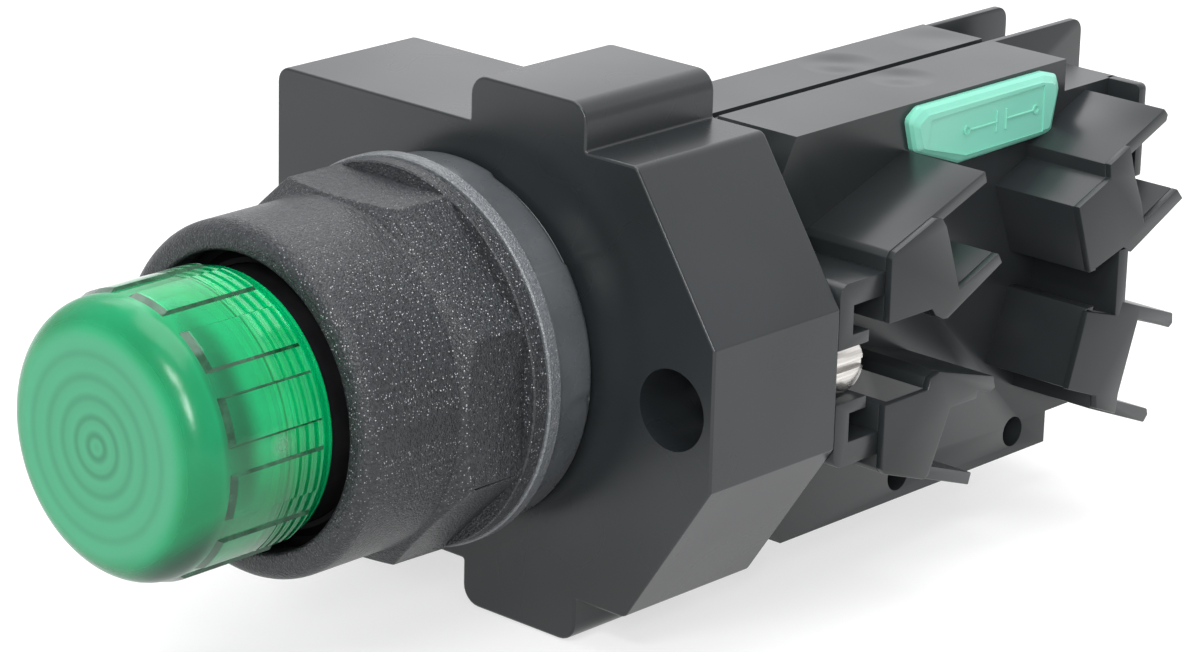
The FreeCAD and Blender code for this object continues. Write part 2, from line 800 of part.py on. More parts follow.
def carrier_slot_in_block(side):
    x = carrier_axis(side) + side * (carrier_half_w + slide_clearance)
    x0, x1 = sorted((seam_x, x))
    h = carrier_half_h + slide_clearance
    return box(x0, x1, block_front_y - 1, cavity_y0 + 1, -h - block_drop, h - block_drop)


def strap(wall_x, side, y, out, level, grow=0.0):
    """Fixed contact: tab beside the bridge, leg along the wall, drop and wire terminal plate."""
    k = grow
    inner = wall_x - side * (wall_skin + seat_clearance)
    deep = inner - side * strap_t
    tab_y = bridge_y + bridge_t + 2 * button_h + stroke + contact_clearance
    z0 = level - strap_half_w
    z1 = level + strap_half_w
    low = min(z0, -terminal_half)
    high = max(z1, terminal_half)
    y0, y1 = y - terminal_half, y + terminal_half
    lo_y, hi_y = min(y0, tab_y), max(y1, tab_y + strap_t)
    tab_end = seam_x + side * 0.9
    plate_in = wall_x + side * (out - strap_t)
    plate_out = wall_x + side * out

    def slab(xa, xb, ya, yb, za, zb):
        xa, xb = min(xa, xb), max(xa, xb)
        return box(xa - k, xb + k, ya - k, yb + k, za - k - block_drop, zb + k - block_drop)

    tab = slab(tab_end, inner, tab_y, tab_y + strap_t, z0, z1)
    leg = slab(deep, inner, lo_y, hi_y, z0, z1)
    drop = slab(deep, inner, y0, y1, low, high)
    foot = slab(deep, plate_out, y0, y1, -terminal_half, -terminal_half + strap_t)
    plate = slab(plate_in, plate_out, y0, y1, -terminal_half, terminal_half)
    return tab, leg, drop, foot, plate


def contact_button(side, level, y0, y1):
    return rod_y(button_r, y0, y1, carrier_axis(side), level - block_drop)


def fixed_contacts(wall_x, side):
    out = []
    for (y, reach), level in zip(terminals(side), (strap_z, -strap_z)):
        parts = strap(wall_x, side, y, reach, level)
        tab_y = bridge_y + bridge_t + 2 * button_h + stroke + contact_clearance
        shape = parts[0].fuse(list(parts[1:]) + [contact_button(side, level, tab_y - button_h, tab_y + 0.2)])
        hole = rod_x(terminal_thread_r + seat_clearance, -30, 60, y, -block_drop)
        clip = sorted((wall_x - side * 3.0, wall_x + side * (reach + 1)))
        hole = hole.common(box(clip[0], clip[1], y - 5, y + 5, -8, 8))
        out.append(shape.cut(hole).removeSplitter())
    return out


def strap_channels(wall_x, side):
    out = []
    for (y, reach), level in zip(terminals(side), (strap_z, -strap_z)):
        out += list(strap(wall_x, side, y, reach, level, seat_clearance))
        ends = sorted((wall_x - side * 2.4, wall_x + side * reach))
        out.append(rod_x(terminal_thread_r + seat_clearance, ends[0], ends[1], y, -block_drop))
    return out


def clamp_plates(wall_x, side):
    out = []
    for y, reach in terminals(side):
        x0, x1 = sorted((wall_x + side * (reach + seat_clearance), wall_x + side * (reach + seat_clearance + clamp_t)))
        h = terminal_half
        plate = box(x0, x1, y - h, y + h, -h - block_drop, h - block_drop)
        out.append(plate.cut(rod_x(terminal_thread_r + seat_clearance, x0 - 1, x1 + 1, y, -block_drop)))
    return out


def terminal_screws(wall_x, side):
    out = []
    for y, reach in terminals(side):
        a = wall_x + side * (reach + clamp_t + 2 * seat_clearance)
        b = a + side * terminal_head_h
        tip = wall_x - side * 1.9
        shank = rod_x(terminal_thread_r, min(tip, a), max(tip, a), y, -block_drop)
        head = rod_x(terminal_head_r, min(a, b), max(a, b), y, -block_drop)
        rim = [e for e in head.Edges if e.Curve.TypeId == "Part::GeomCircle" and abs(e.BoundBox.XMin - b) < 0.01]
        head = head.makeFillet(0.7, rim)
        cut_x = sorted((b - side * 0.8, b + side * 1.0))
        slot = box(cut_x[0], cut_x[1], y - 4, y + 4, -0.4 - block_drop, 0.4 - block_drop)
        out.append(shank.fuse(head).cut(slot))
    return out


def tag_seat_shape():
    """Shallow recess for the tag, its outline grown by the seat clearance."""
    x0 = right_wall_x - tag_seat
    outline_face = polygon([V(x0, p[0], p[1]) for p in behind_front(tag_outline)])
    return outline_face.makeOffset2D(seat_clearance, 2).extrude(V(tag_seat + 1, 0, 0))


def circuit_tag():
    tag = prism_x(behind_front(tag_outline), right_wall_x - tag_seat + seat_clearance, right_wall_x + tag_proud)
    front = [e for e in tag.Edges if e.BoundBox.XMin > right_wall_x]
    return tag.makeChamfer(tag_bevel, front)


def link_holes(body):
    for y in link_hole_y:
        body = body.cut(rod_x(link_hole_r, -20, 60, y, -link_hole_z - block_drop))
    return body


def block_body(wall_x, side, extra):
    seam = seam_x + side * (partition_half_t + seam_gap)
    x0, x1 = sorted((seam, wall_x))
    body = prism_x(at(block_profile(), -block_drop), x0, x1)
    for piece in extra:
        body = body.fuse(piece)
    for tool in [block_cavity(wall_x, side), tail_room(wall_x, side), carrier_slot_in_block(side)]:
        body = body.cut(tool)
    for tool in strap_channels(wall_x, side):
        body = body.cut(tool)
    for x, z in block_screw_xz():
        body = body.cut(rod_y(m3_r + seat_clearance, block_front_y - 1, cavity_y0 - 1.0, x, z))
    return link_holes(body)


def block_right():
    body = block_body(right_wall_x, 1, [])
    return body.cut(tag_seat_shape()).removeSplitter()


def block_left():
    low, high = fin_low_z, block_half_h - block_drop - 0.1
    corner = arc_pts(fin_end_y - fin_round, high - fin_round, fin_round, 90, 0, 5)
    pts = [(block_rear_y - 1, low), (block_rear_y - 1, high)] + corner + [(fin_end_y, low)]
    fin = prism_x(pts, left_wall_x, left_wall_x + fin_t)
    return block_body(left_wall_x, -1, [fin]).removeSplitter()


def block_partition():
    top = block_half_h - 0.35
    profile = [(block_front_y, block_bevel_z - 0.2), (block_top_y + 0.1, top), (block_rear_y, top)]
    corner = arc_pts(mid_fin_end_y - fin_round, top - fin_round, fin_round, 90, 0, 5)
    low = [(mid_fin_end_y, fin_low_z + block_drop), (block_tail_y, fin_low_z + block_drop), (block_tail_y, -block_tail_half_h),
           (block_rear_y, -block_tail_half_h), (block_rear_y, -top), (block_top_y + 0.1, -top), (block_front_y, -block_bevel_z + 0.2)]
    plate = prism_x(at(profile + corner + low, -block_drop), seam_x - partition_half_t, seam_x + partition_half_t)
    for y in link_hole_y:
        plate = plate.cut(rod_x(link_hole_r, -20, 60, y, -link_hole_z - block_drop))
    return plate


def block_screw_xz():
    return [(seam_x + s * block_screw_dx, t * block_screw_dz - block_drop) for s in (1, -1) for t in (1, -1)]


def block_screws():
    y0 = body_depth - base_t + 0.05
    out = []
    for x, z in block_screw_xz():
        head = rod_y(m3_head_r, y0, y0 + m3_head_h - 0.05, x, z)
        shank = rod_y(m3_r, y0, block_front_y + block_screw_grip, x, z)
        slot = box(x - 3, x + 3, y0 - 1, y0 + 0.6, z - 0.4, z + 0.4)
        out.append(shank.fuse(head).cut(slot))
    return out


# Moving contacts
def carrier_axis(side):
    return seam_x + side * carrier_offset


def carrier_axes():
    return (carrier_axis(1), carrier_axis(-1))


def carrier_window(x, y0, y1):
    k = carrier_half_w + slide_clearance
    h = carrier_half_h + slide_clearance
    return box(x - k, x + k, y0, y1, -h - block_drop, h - block_drop)


def contact_carrier(side):
    x = carrier_axis(side)
    w = carrier_half_w
    y0 = sleeve_rear_y() + yoke_t + seat_clearance
    stem = box(x - w, x + w, y0, carrier_back_y, -carrier_half_h - block_drop, carrier_half_h - block_drop)
    k = carrier_slot_half_w
    h = carrier_half_h + 1
    slot = box(x - k, x + k, carrier_slot_y, bridge_y + bridge_t + seat_clearance, -h - block_drop, h - block_drop)
    return stem.cut(slot)


def bridge_contact(side):
    x = carrier_axis(side)
    w = bridge_half_w
    k = carrier_slot_half_w - slide_clearance
    h = carrier_half_h + 0.5
    y1 = bridge_y + bridge_t
    middle = box(x - k, x + k, bridge_y, y1, -h - 0.2 - block_drop, h + 0.2 - block_drop)
    solids = []
    for s in (1, -1):
        z0, z1 = sorted((s * h, s * bridge_half_h))
        arm = box(x - w, x + w, bridge_y, y1, z0 - block_drop, z1 - block_drop)
        solids += [arm, contact_button(side, s * strap_z, y1 - 0.2, y1 + button_h)]
    return middle.fuse(solids).removeSplitter()


def contact_spring(side):
    coil = spring_y(contact_coil_r, contact_wire_r, carrier_slot_y + seat_clearance, bridge_y - seat_clearance, contact_turns)
    coil.translate(V(carrier_axis(side), 0, -block_drop))
    return coil


def carrier_spring(side):
    coil = spring_y(carrier_coil_r, carrier_wire_r, carrier_back_y + seat_clearance, cavity_y1 - seat_clearance, carrier_turns)
    coil.translate(V(carrier_axis(side), 0, -block_drop))
    return coil


def save_pole(name, wall_x, side):
    save("contact_carrier_" + name, contact_carrier(side))
    save("bridge_contact_" + name, bridge_contact(side))
    save("contact_spring_" + name, contact_spring(side))
    save("carrier_spring_" + name, carrier_spring(side))
    save("fixed_contacts_" + name, fixed_contacts(wall_x, side))
    save("clamp_plates_" + name, clamp_plates(wall_x, side))
    save("terminal_screws_" + name, terminal_screws(wall_x, side))


def save_all():
    save("lens_cap", lens_cap())
    save("operator_bushing", operator_bushing())
    save("plunger_sleeve", plunger_sleeve())
    save("pusher_yoke", pusher_yoke())
    save("lip_seal", lip_seal())
    save("return_spring", return_spring())
    save("retaining_nut", retaining_nut())
    save("trim_ring", trim_ring())
    save("panel_gasket", panel_gasket())
    save("housing_shell", housing_shell())
    save("housing_base", housing_base())
    save("housing_screws", housing_screws())
    save("lamp_holder", lamp_holder())
    save("lamp_socket", lamp_socket())
    save("lamp_base", lamp_base())
    save("lamp_bulb", lamp_bulb())
    save("socket_contact", socket_contact())
    save("socket_spring", socket_spring())
    save("transformer_core", transformer_core())
    save("transformer_coil", transformer_coil())
    save("supply_terminals", supply_terminals())
    save("supply_screws", supply_screws())
    save("block_body_right", block_right())
    save("block_body_left", block_left())
    save("block_partition", block_partition())
    save("terminal_shrouds_right", terminal_shrouds(right_wall_x, 1, shroud_depth_right))
    save("terminal_shrouds_left", terminal_shrouds(left_wall_x, -1, shroud_depth_left))
    save("block_lugs_right", block_lugs(right_wall_x, 1))
    save("block_lugs_left", block_lugs(left_wall_x, -1))
    save("block_screws", block_screws())
    save("circuit_tag", circuit_tag())
    save_pole("right", right_wall_x, 1)
    save_pole("left", left_wall_x, -1)


save_all()
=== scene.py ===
import bpy
import bmesh
import math
from mathutils import Matrix, Vector


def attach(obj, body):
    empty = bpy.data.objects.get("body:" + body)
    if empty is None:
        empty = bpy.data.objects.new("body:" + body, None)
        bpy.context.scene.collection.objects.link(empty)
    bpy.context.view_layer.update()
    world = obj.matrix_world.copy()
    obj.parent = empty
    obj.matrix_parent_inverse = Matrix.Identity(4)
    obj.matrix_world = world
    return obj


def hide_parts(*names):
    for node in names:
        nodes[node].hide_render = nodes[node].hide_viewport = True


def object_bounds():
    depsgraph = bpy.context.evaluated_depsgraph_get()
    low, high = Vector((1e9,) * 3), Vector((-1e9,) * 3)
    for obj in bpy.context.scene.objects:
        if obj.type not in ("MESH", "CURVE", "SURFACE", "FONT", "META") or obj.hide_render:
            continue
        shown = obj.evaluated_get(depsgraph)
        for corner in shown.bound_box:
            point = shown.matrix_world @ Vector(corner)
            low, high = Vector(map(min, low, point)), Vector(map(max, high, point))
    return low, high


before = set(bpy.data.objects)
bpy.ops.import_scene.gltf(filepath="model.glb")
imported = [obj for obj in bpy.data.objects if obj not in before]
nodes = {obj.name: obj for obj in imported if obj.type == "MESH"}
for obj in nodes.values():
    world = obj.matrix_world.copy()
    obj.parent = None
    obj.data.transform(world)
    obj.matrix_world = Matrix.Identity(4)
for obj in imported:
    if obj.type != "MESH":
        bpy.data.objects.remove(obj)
cad_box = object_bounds()

MM = 0.001
TURN = 2 * math.pi

# Sizes of the push button in millimetres: X right, Y into the panel, Z up
# Lens
lens_face_y = -46.1
lens_skirt_y = -29.6
lens_r = 13.38
lens_round = 3.7
lens_wall = 1.7
lens_seam_y = -35.3
gate_place = (lens_r, -35.8, 1.2)
face_rings = (8.65, 6.5, 4.6, 2.75, 1.1)
pad_height = 0.30
pad_front_y = -42.2
pad_back_y = -30.8
pad_start, pad_spread, pad_pitch = 10.0, 20.0, 30.0  # degrees round the axis
step_y = -35.2
sleeve_seat_r = 12.45
groove_pitch = 1.15
paint_end_y = -30.1

# Nut, ring and gasket
nut_rim_y = -28.8
nut_collar_r = 17.2
nut_rim_round = 1.7
nut_mouth_r = 14.35
nut_mouth_back_y = -26.4
neck_r = 15.08
cone_y = -16.95
corner_y = -15.7
corner_r = 19.05
flange_front_y = -9.2
flange_back_y = -7.45
trim_back_y = -5.8
trim_r = 19.34
trim_bore_r = 15.15
gasket_r = 18.4
gasket_bore_r = 15.2

# Body and contact blocks
body_z = -0.5
body_depth = 18.0
body_front_wall = 2.2
hole_x = 27.85
hole_r = 4.0
block_z = -0.6
seam_x = 12.0
right_wall_x = 22.5
left_wall_x = 3.6
pin_holes_y = (41.2, 60.2)
pin_holes_z = -18.4
pin_hole_r = 1.6
tag_face_x = 23.7
thread_pitch = 0.7
shroud_plate = 0.8

# Place along Y of each terminal, and its reach out of the block's wall
right_terminals = ((22.0, 5.5), (68.0, 2.5))
left_terminals = ((22.0, 2.5), (68.0, 2.5))


def mm(x, y, z):
    return Vector((x * MM, y * MM, z * MM))


# Modelling helpers
def clear_selection():
    if bpy.context.object and bpy.context.object.mode != "OBJECT":
        bpy.ops.object.mode_set(mode="OBJECT")
    bpy.ops.object.select_all(action="DESELECT")


def select_only(piece):
    clear_selection()
    piece.select_set(True)
    bpy.context.view_layer.objects.active = piece


def start_edit(piece, kind):
    """Open a piece so that its vertices or faces can be worked on."""
    select_only(piece)
    bpy.ops.object.mode_set(mode="EDIT")
    bpy.ops.mesh.select_mode(type=kind)


def start_line(name, point):
    """A mesh of one vertex, ready to be drawn out in edit mode."""
    clear_selection()
    bpy.ops.mesh.primitive_plane_add(size=MM, location=point)
    piece = bpy.context.object
    piece.name = name
    bpy.ops.object.transform_apply(location=True, rotation=True, scale=True)
    bpy.ops.object.mode_set(mode="EDIT")
    bpy.ops.mesh.select_mode(type="VERT")
    bpy.ops.mesh.select_all(action="SELECT")
    bpy.ops.mesh.merge(type="CENTER")
    return piece


def draw_to(points):
    """Draw a line on through the points, from the first one, where it stands."""
    for a, b in zip(points, points[1:]):
        bpy.ops.mesh.extrude_vertices_move(TRANSFORM_OT_translate={"value": b - a})


def pick(piece, kind, test):
    """Select the vertices or faces that pass a test, and only those."""
    bpy.ops.mesh.select_all(action="DESELECT")
    mesh = bmesh.from_edit_mesh(piece.data)
    for item in getattr(mesh, kind):
        if test(item):
            item.select_set(True)
    bmesh.update_edit_mesh(piece.data)


def polar(point):
    """Distance from the button's axis in millimetres, and angle round it in degrees."""
    return math.hypot(point.x, point.z) / MM, math.degrees(math.atan2(point.z, point.x))


def apply_modifier(piece, mod):
    select_only(piece)
    bpy.ops.object.modifier_apply(modifier=mod.name)


def round_edges(piece, width, segments=2, angle=28, clamp=True):
    """Round every edge that is sharper than an angle."""
    mod = piece.modifiers.new("edge_round", "BEVEL")
    mod.width = width * MM
    mod.segments = segments
    mod.limit_method = "ANGLE"
    mod.angle_limit = math.radians(angle)
    mod.use_clamp_overlap = clamp
    apply_modifier(piece, mod)


def shade(piece, angle=30):
    """Smooth shading that leaves edges sharper than an angle as they are."""
    select_only(piece)
    bpy.ops.object.shade_smooth_by_angle(angle=math.radians(angle))


def prism(name, outline, axis, low, high, edge=0.15, segments=2):
    """A closed outline drawn across an axis and pulled out along it."""
    def place(p, level):
        return mm(level, p[0], p[1]) if axis == "X" else mm(p[0], level, p[1])
    pts = [place(p, low) for p in outline]
    piece = start_line(name, pts[0])
    draw_to(pts + [pts[0]])
    bpy.ops.mesh.select_all(action="SELECT")
    bpy.ops.mesh.remove_doubles(threshold=1e-6)
    bpy.ops.mesh.edge_face_add()
    bpy.ops.mesh.select_all(action="SELECT")
    pull = place(outline[0], high) - pts[0]
    bpy.ops.mesh.extrude_region_move(TRANSFORM_OT_translate={"value": pull})
    bpy.ops.mesh.select_all(action="SELECT")
    bpy.ops.mesh.normals_make_consistent(inside=False)
    bpy.ops.object.mode_set(mode="OBJECT")
    if edge:
        round_edges(piece, edge, segments)
    shade(piece)
    return piece


def turned(name, profile, steps, side=0.0, z=0.0, axis="Y"):
    """A profile of (radius, place along the axis) points, spun round the axis.

    The axis stands at height z. side is its X if it runs along Y, and its Y if it runs along X.
    """
    def place(p):
        return mm(side + p[0], p[1], z) if axis == "Y" else mm(p[1], side + p[0], z)
    pts = [place(p) for p in profile]
    piece = start_line(name, pts[0])
    draw_to(pts)
    bpy.ops.mesh.select_all(action="SELECT")
    centre = mm(side, 0, z) if axis == "Y" else mm(0, side, z)
    way = (0, 1, 0) if axis == "Y" else (1, 0, 0)
    bpy.ops.mesh.spin(steps=steps, angle=TURN, center=centre, axis=way)
    bpy.ops.mesh.select_all(action="SELECT")
    bpy.ops.mesh.remove_doubles(threshold=2e-6)
    bpy.ops.mesh.select_all(action="SELECT")
    bpy.ops.mesh.normals_make_consistent(inside=False)
    bpy.ops.object.mode_set(mode="OBJECT")
    shade(piece)
    return piece


def combine(piece, tool, way):
    mod = piece.modifiers.new("shape", "BOOLEAN")
    mod.operation = way
    mod.solver = "EXACT"
    mod.object = tool
    apply_modifier(piece, mod)
    bpy.data.objects.remove(tool)


def cut_out(piece, tool):
    """Take a tool's shape out of a piece."""
    combine(piece, tool, "DIFFERENCE")


def keep_within(piece, tool):
    """Keep only what a piece shares with a tool's shape."""
    combine(piece, tool, "INTERSECT")


def join(name, pieces):
    """Make one named piece of several; the first one takes the others in."""
    clear_selection()
    for p in pieces:
        p.select_set(True)
    bpy.context.view_layer.objects.active = pieces[0]
    bpy.ops.object.join()
    pieces[0].name = name
    return pieces[0]


def arc(cx, cy, r, a0, a1, steps):
    """Points along an arc round (cx, cy), with its angles in degrees."""
    out = []
    for i in range(steps + 1):
        a = math.radians(a0 + (a1 - a0) * i / steps)
        out.append((cx + r * math.cos(a), cy + r * math.sin(a)))
    return out


def flip(points):
    """An outline upside down."""
    return [(p[0], -p[1]) for p in points]


def raise_by(points, dz):
    return [(p[0], p[1] + dz) for p in points]


def rounded(outline, radii, steps=6):
    """Outline with its corners rounded; radii gives a radius for each corner."""
    out = []
    n = len(outline)
    for i, r in enumerate(radii):
        p = Vector(outline[i])
        a = Vector(outline[i - 1]) - p
        b = Vector(outline[(i + 1) % n]) - p
        if r <= 0:
            out.append(tuple(p))
            continue
        a.normalize()
        b.normalize()
        half = a.angle(b) / 2
        cut = r / math.tan(half)
        centre = p + (a + b).normalized() * (r / math.sin(half))
        s = p + a * cut - centre
        e = p + b * cut - centre
        a0 = math.atan2(s.y, s.x)
        turn = (math.atan2(e.y, e.x) - a0 + math.pi) % TURN - math.pi
        for k in range(steps + 1):
            t = a0 + turn * k / steps
            out.append((centre.x + r * math.cos(t), centre.y + r * math.sin(t)))
    return out


# Material helpers
def new_material(name):
    """A material, its node tree, and the Object place that its patterns follow."""
    mat = bpy.data.materials.new(name)
    mat.use_nodes = True
    tree = mat.node_tree
    return mat, tree, tree.nodes.new("ShaderNodeTexCoord").outputs["Object"]


def feed(tree, inputs, values):
    """Link each output to the input of that name or number, or put a plain value in it."""
    for key, value in values.items():
        if isinstance(value, bpy.types.NodeSocket):
            tree.links.new(value, inputs[key])
        else:
            inputs[key].default_value = value


def surface(mat, values):
    """Feed a material's shader, and hand the material back."""
    feed(mat.node_tree, mat.node_tree.nodes["Principled BSDF"].inputs, values)
    return mat


def node(tree, kind, inputs=None, **settings):
    item = tree.nodes.new(kind)
    for key, value in settings.items():
        setattr(item, key, value)
    feed(tree, item.inputs, inputs or {})
    return item


def speckle(tree, place, scale, detail=2.0, roughness=0.5):
    """Soft noise from 0 to 1."""
    inputs = {"Vector": place, "Scale": scale, "Detail": detail, "Roughness": roughness}
    return node(tree, "ShaderNodeTexNoise", inputs).outputs["Fac"]


def ranged(tree, value, start, end, low=0.0, high=1.0, smooth=False):
    """Goes from low to high while a value goes from start to end."""
    inputs = {"Value": value, "From Min": start, "From Max": end, "To Min": low, "To Max": high}
    way = "SMOOTHSTEP" if smooth else "LINEAR"
    return node(tree, "ShaderNodeMapRange", inputs, interpolation_type=way).outputs["Result"]


def spread_value(tree, fac, low, high):
    return ranged(tree, fac, 0.0, 1.0, low, high)


def calculate(tree, operation, *values):
    return node(tree, "ShaderNodeMath", dict(enumerate(values)), operation=operation).outputs[0]


def product(tree, a, b):
    return calculate(tree, "MULTIPLY", a, b)


def strongest(tree, first, *others):
    """The largest of several values."""
    for value in others:
        first = calculate(tree, "MAXIMUM", first, value)
    return first


def mix(tree, factor, a, b, blend="MIX"):
    """Colour a where the factor is 0, and b blended in where it is 1."""
    item = node(tree, "ShaderNodeMix", data_type="RGBA", blend_type=blend)
    feed(tree, item.inputs, {"Factor": factor, "A": a, "B": b})
    return item.outputs["Result"]


def tone_row(tree, fac, stops, smooth=False):
    """Colour that follows a row of (place, colour) stops."""
    item = tree.nodes.new("ShaderNodeValToRGB")
    row = item.color_ramp
    row.interpolation = "EASE" if smooth else "LINEAR"
    for i, (place, colour) in enumerate((stops[0], stops[-1])):
        row.elements[i].position = place
        row.elements[i].color = (*colour, 1)
    for place, colour in stops[1:-1]:
        row.elements.new(place).color = (*colour, 1)
    feed(tree, item.inputs, {"Fac": fac})
    return item.outputs["Color"]


def two_tones(tree, fac, dark, light, start=0.35, end=0.65):
    return tone_row(tree, fac, [(start, dark), (end, light)])


def bump(tree, height, distance, under=None):
    """Normal of a relief in metres, laid over another one if that is given."""
    inputs = {"Height": height, "Distance": distance}
    if under is not None:
        inputs["Normal"] = under
    return node(tree, "ShaderNodeBump", inputs).outputs["Normal"]


def distance_from(tree, place, point):
    """Distance in metres from a point given in millimetres."""
    inputs = {0: place, 1: mm(*point)}
    return node(tree, "ShaderNodeVectorMath", inputs, operation="DISTANCE").outputs["Value"]


def radius_and_depth(tree, place):
    """Distance from the button's axis, and place along it."""
    parts = node(tree, "ShaderNodeSeparateXYZ", {"Vector": place}).outputs
    flat = node(tree, "ShaderNodeCombineXYZ", {"X": parts["X"], "Z": parts["Z"]})
    length = node(tree, "ShaderNodeVectorMath", {0: flat.outputs["Vector"]}, operation="LENGTH")
    return length.outputs["Value"], parts["Y"]


def toward(tree, place, angle, low, high, weakest):
    """Rises from weakest to 1 on the side of the button's axis that lies toward an angle."""
    a = math.radians(angle)
    inputs = {0: place, 1: (math.cos(a), 0, math.sin(a))}
    along = node(tree, "ShaderNodeVectorMath", inputs, operation="DOT_PRODUCT")
    return ranged(tree, along.outputs["Value"], low * MM, high * MM, weakest)


# Materials
lit_side = 22.0  # degrees round the button's axis, where the light from the right falls
low_side = -52.0  # degrees round the axis, the side of the lens in its own shade
lens_ior = 1.49


def moulded(name, dark, light, rough, gloss, dents=()):
    """Satin moulded plastic: faint tone changes, slow surface waves and a few sink marks."""
    mat, tree, place = new_material(name)
    normal = bump(tree, speckle(tree, place, 70.0, 1.0), 0.00001)
    for centre, reach, depth in dents:
        bowl = ranged(tree, distance_from(tree, place, centre), 0.0, reach * MM, smooth=True)
        normal = bump(tree, bowl, depth * MM, under=normal)
    return surface(mat, {
        "Base Color": two_tones(tree, speckle(tree, place, 60.0, 1.0), dark, light),
        "Roughness": spread_value(tree, speckle(tree, place, 80.0, 1.0), *rough),
        "Normal": normal,
        "Specular IOR Level": gloss,
    })


def spark_textured(name, dark, light, depth, scale, rough, gloss, glint):
    """Eroded mould texture: soft grain and relief, with painted glints: sparse pale specks in the colour,
    strongest on the side that faces the light from the right.
    """
    mat, tree, place = new_material(name)
    tone = speckle(tree, place, scale * 0.9, 2.0, 0.7)
    ground = two_tones(tree, tone, dark, light, 0.35, 0.75)
    cells = node(tree, "ShaderNodeTexVoronoi", {"Vector": place, "Scale": scale * 1.5}).outputs
    dot = ranged(tree, cells["Distance"], 0.36, 0.20)
    chance = node(tree, "ShaderNodeSeparateColor", {"Color": cells["Color"]}).outputs["Red"]
    specks = product(tree, dot, ranged(tree, chance, 0.58, 1.0))
    # Painted glints: the pale specks, made stronger toward the light from the right
    painted_glints = product(tree, specks, toward(tree, place, lit_side, 8.0, 18.0, 0.2))
    coarse = bump(tree, speckle(tree, place, scale * 0.55, 3.0, 0.7), depth)
    return surface(mat, {
        "Base Color": mix(tree, painted_glints, ground, (glint, glint, glint * 1.04, 1)),
        "Roughness": spread_value(tree, speckle(tree, place, scale * 0.7), *rough),
        "Normal": bump(tree, cells["Distance"], depth * 0.6, under=coarse),
        "Specular IOR Level": gloss,
    })


def painted_sleeve():
    """Black sleeve, painted white under the lens to throw the lamp's light forward."""
    mat, tree, place = new_material("sleeve_paint")
    depth = radius_and_depth(tree, place)[1]
    bare = ranged(tree, depth, paint_end_y * MM, (paint_end_y + 0.1) * MM)
    cloud = speckle(tree, place, 300.0, 3.0)
    paint = two_tones(tree, cloud, (0.66, 0.70, 0.66), (0.74, 0.78, 0.74))
    plastic = two_tones(tree, cloud, (0.008, 0.008, 0.009), (0.012, 0.012, 0.013))
    return surface(mat, {
        "Base Color": mix(tree, bare, paint, plastic),
        "Roughness": spread_value(tree, cloud, 0.3, 0.42),
    })


def smooth_rubber():
    mat, tree, place = new_material("rubber_black")
    tone = speckle(tree, place, 160.0, 4.0)
    smear = speckle(tree, place, 330.0, 4.0)
    return surface(mat, {
        "Base Color": two_tones(tree, tone, (0.068, 0.075, 0.080), (0.088, 0.096, 0.103)),
        "Roughness": spread_value(tree, smear, 0.22, 0.34),
        "Normal": bump(tree, speckle(tree, place, 190.0, 3.0), 0.00006),
        "Specular IOR Level": 0.7,
    })


def worked_metal(name, dark, light, stretch=(1.0, 0.05, 1.0), scale=2200.0):
    """Plated or drawn metal with fine streaks along one way."""
    mat, tree, place = new_material(name)
    stretched = node(tree, "ShaderNodeMapping", {"Vector": place, "Scale": stretch})
    streak = speckle(tree, stretched.outputs["Vector"], scale, 3.0)
    return surface(mat, {
        "Base Color": two_tones(tree, streak, dark, light),
        "Roughness": spread_value(tree, streak, 0.18, 0.34),
        "Normal": bump(tree, streak, 0.000008),
        "Metallic": 1.0,
    })


def wound_wire():
    """Enamelled copper wire, laid turn beside turn."""
    mat, tree, place = new_material("coil_copper")
    inputs = {"Vector": place, "Scale": 900.0, "Distortion": 1.0}
    turns = node(tree, "ShaderNodeTexWave", inputs, bands_direction="Z").outputs["Fac"]
    return surface(mat, {
        "Base Color": two_tones(tree, turns, (0.16, 0.04, 0.015), (0.62, 0.25, 0.09)),
        "Roughness": 0.3,
        "Normal": bump(tree, turns, 0.00005),
        "Metallic": 0.6,
    })


def clear_glass():
    mat, tree, place = new_material("bulb_glass")
    return surface(mat, {
        "Base Color": (0.97, 0.98, 0.98, 1),
        "Roughness": spread_value(tree, speckle(tree, place, 150.0, 3.0), 0.0, 0.06),
        "Transmission Weight": 1.0,
        "IOR": 1.5,
    })


# Painted shade of the face's turned rings: brightness of the lens face at each radius in millimetres, darkest
# at the rings
ring_shade_tones = [
    (0.0, 0.9), (0.6, 1.0), (1.1, 0.62), (1.8, 1.0), (2.3, 0.95), (2.75, 0.68), (3.4, 1.0), (4.0, 0.95),
    (4.6, 0.76), (5.3, 1.0), (5.9, 0.96), (6.5, 0.80), (7.3, 1.0), (8.1, 0.97), (8.65, 0.84), (9.4, 1.0),
    (10.0, 1.0),
]


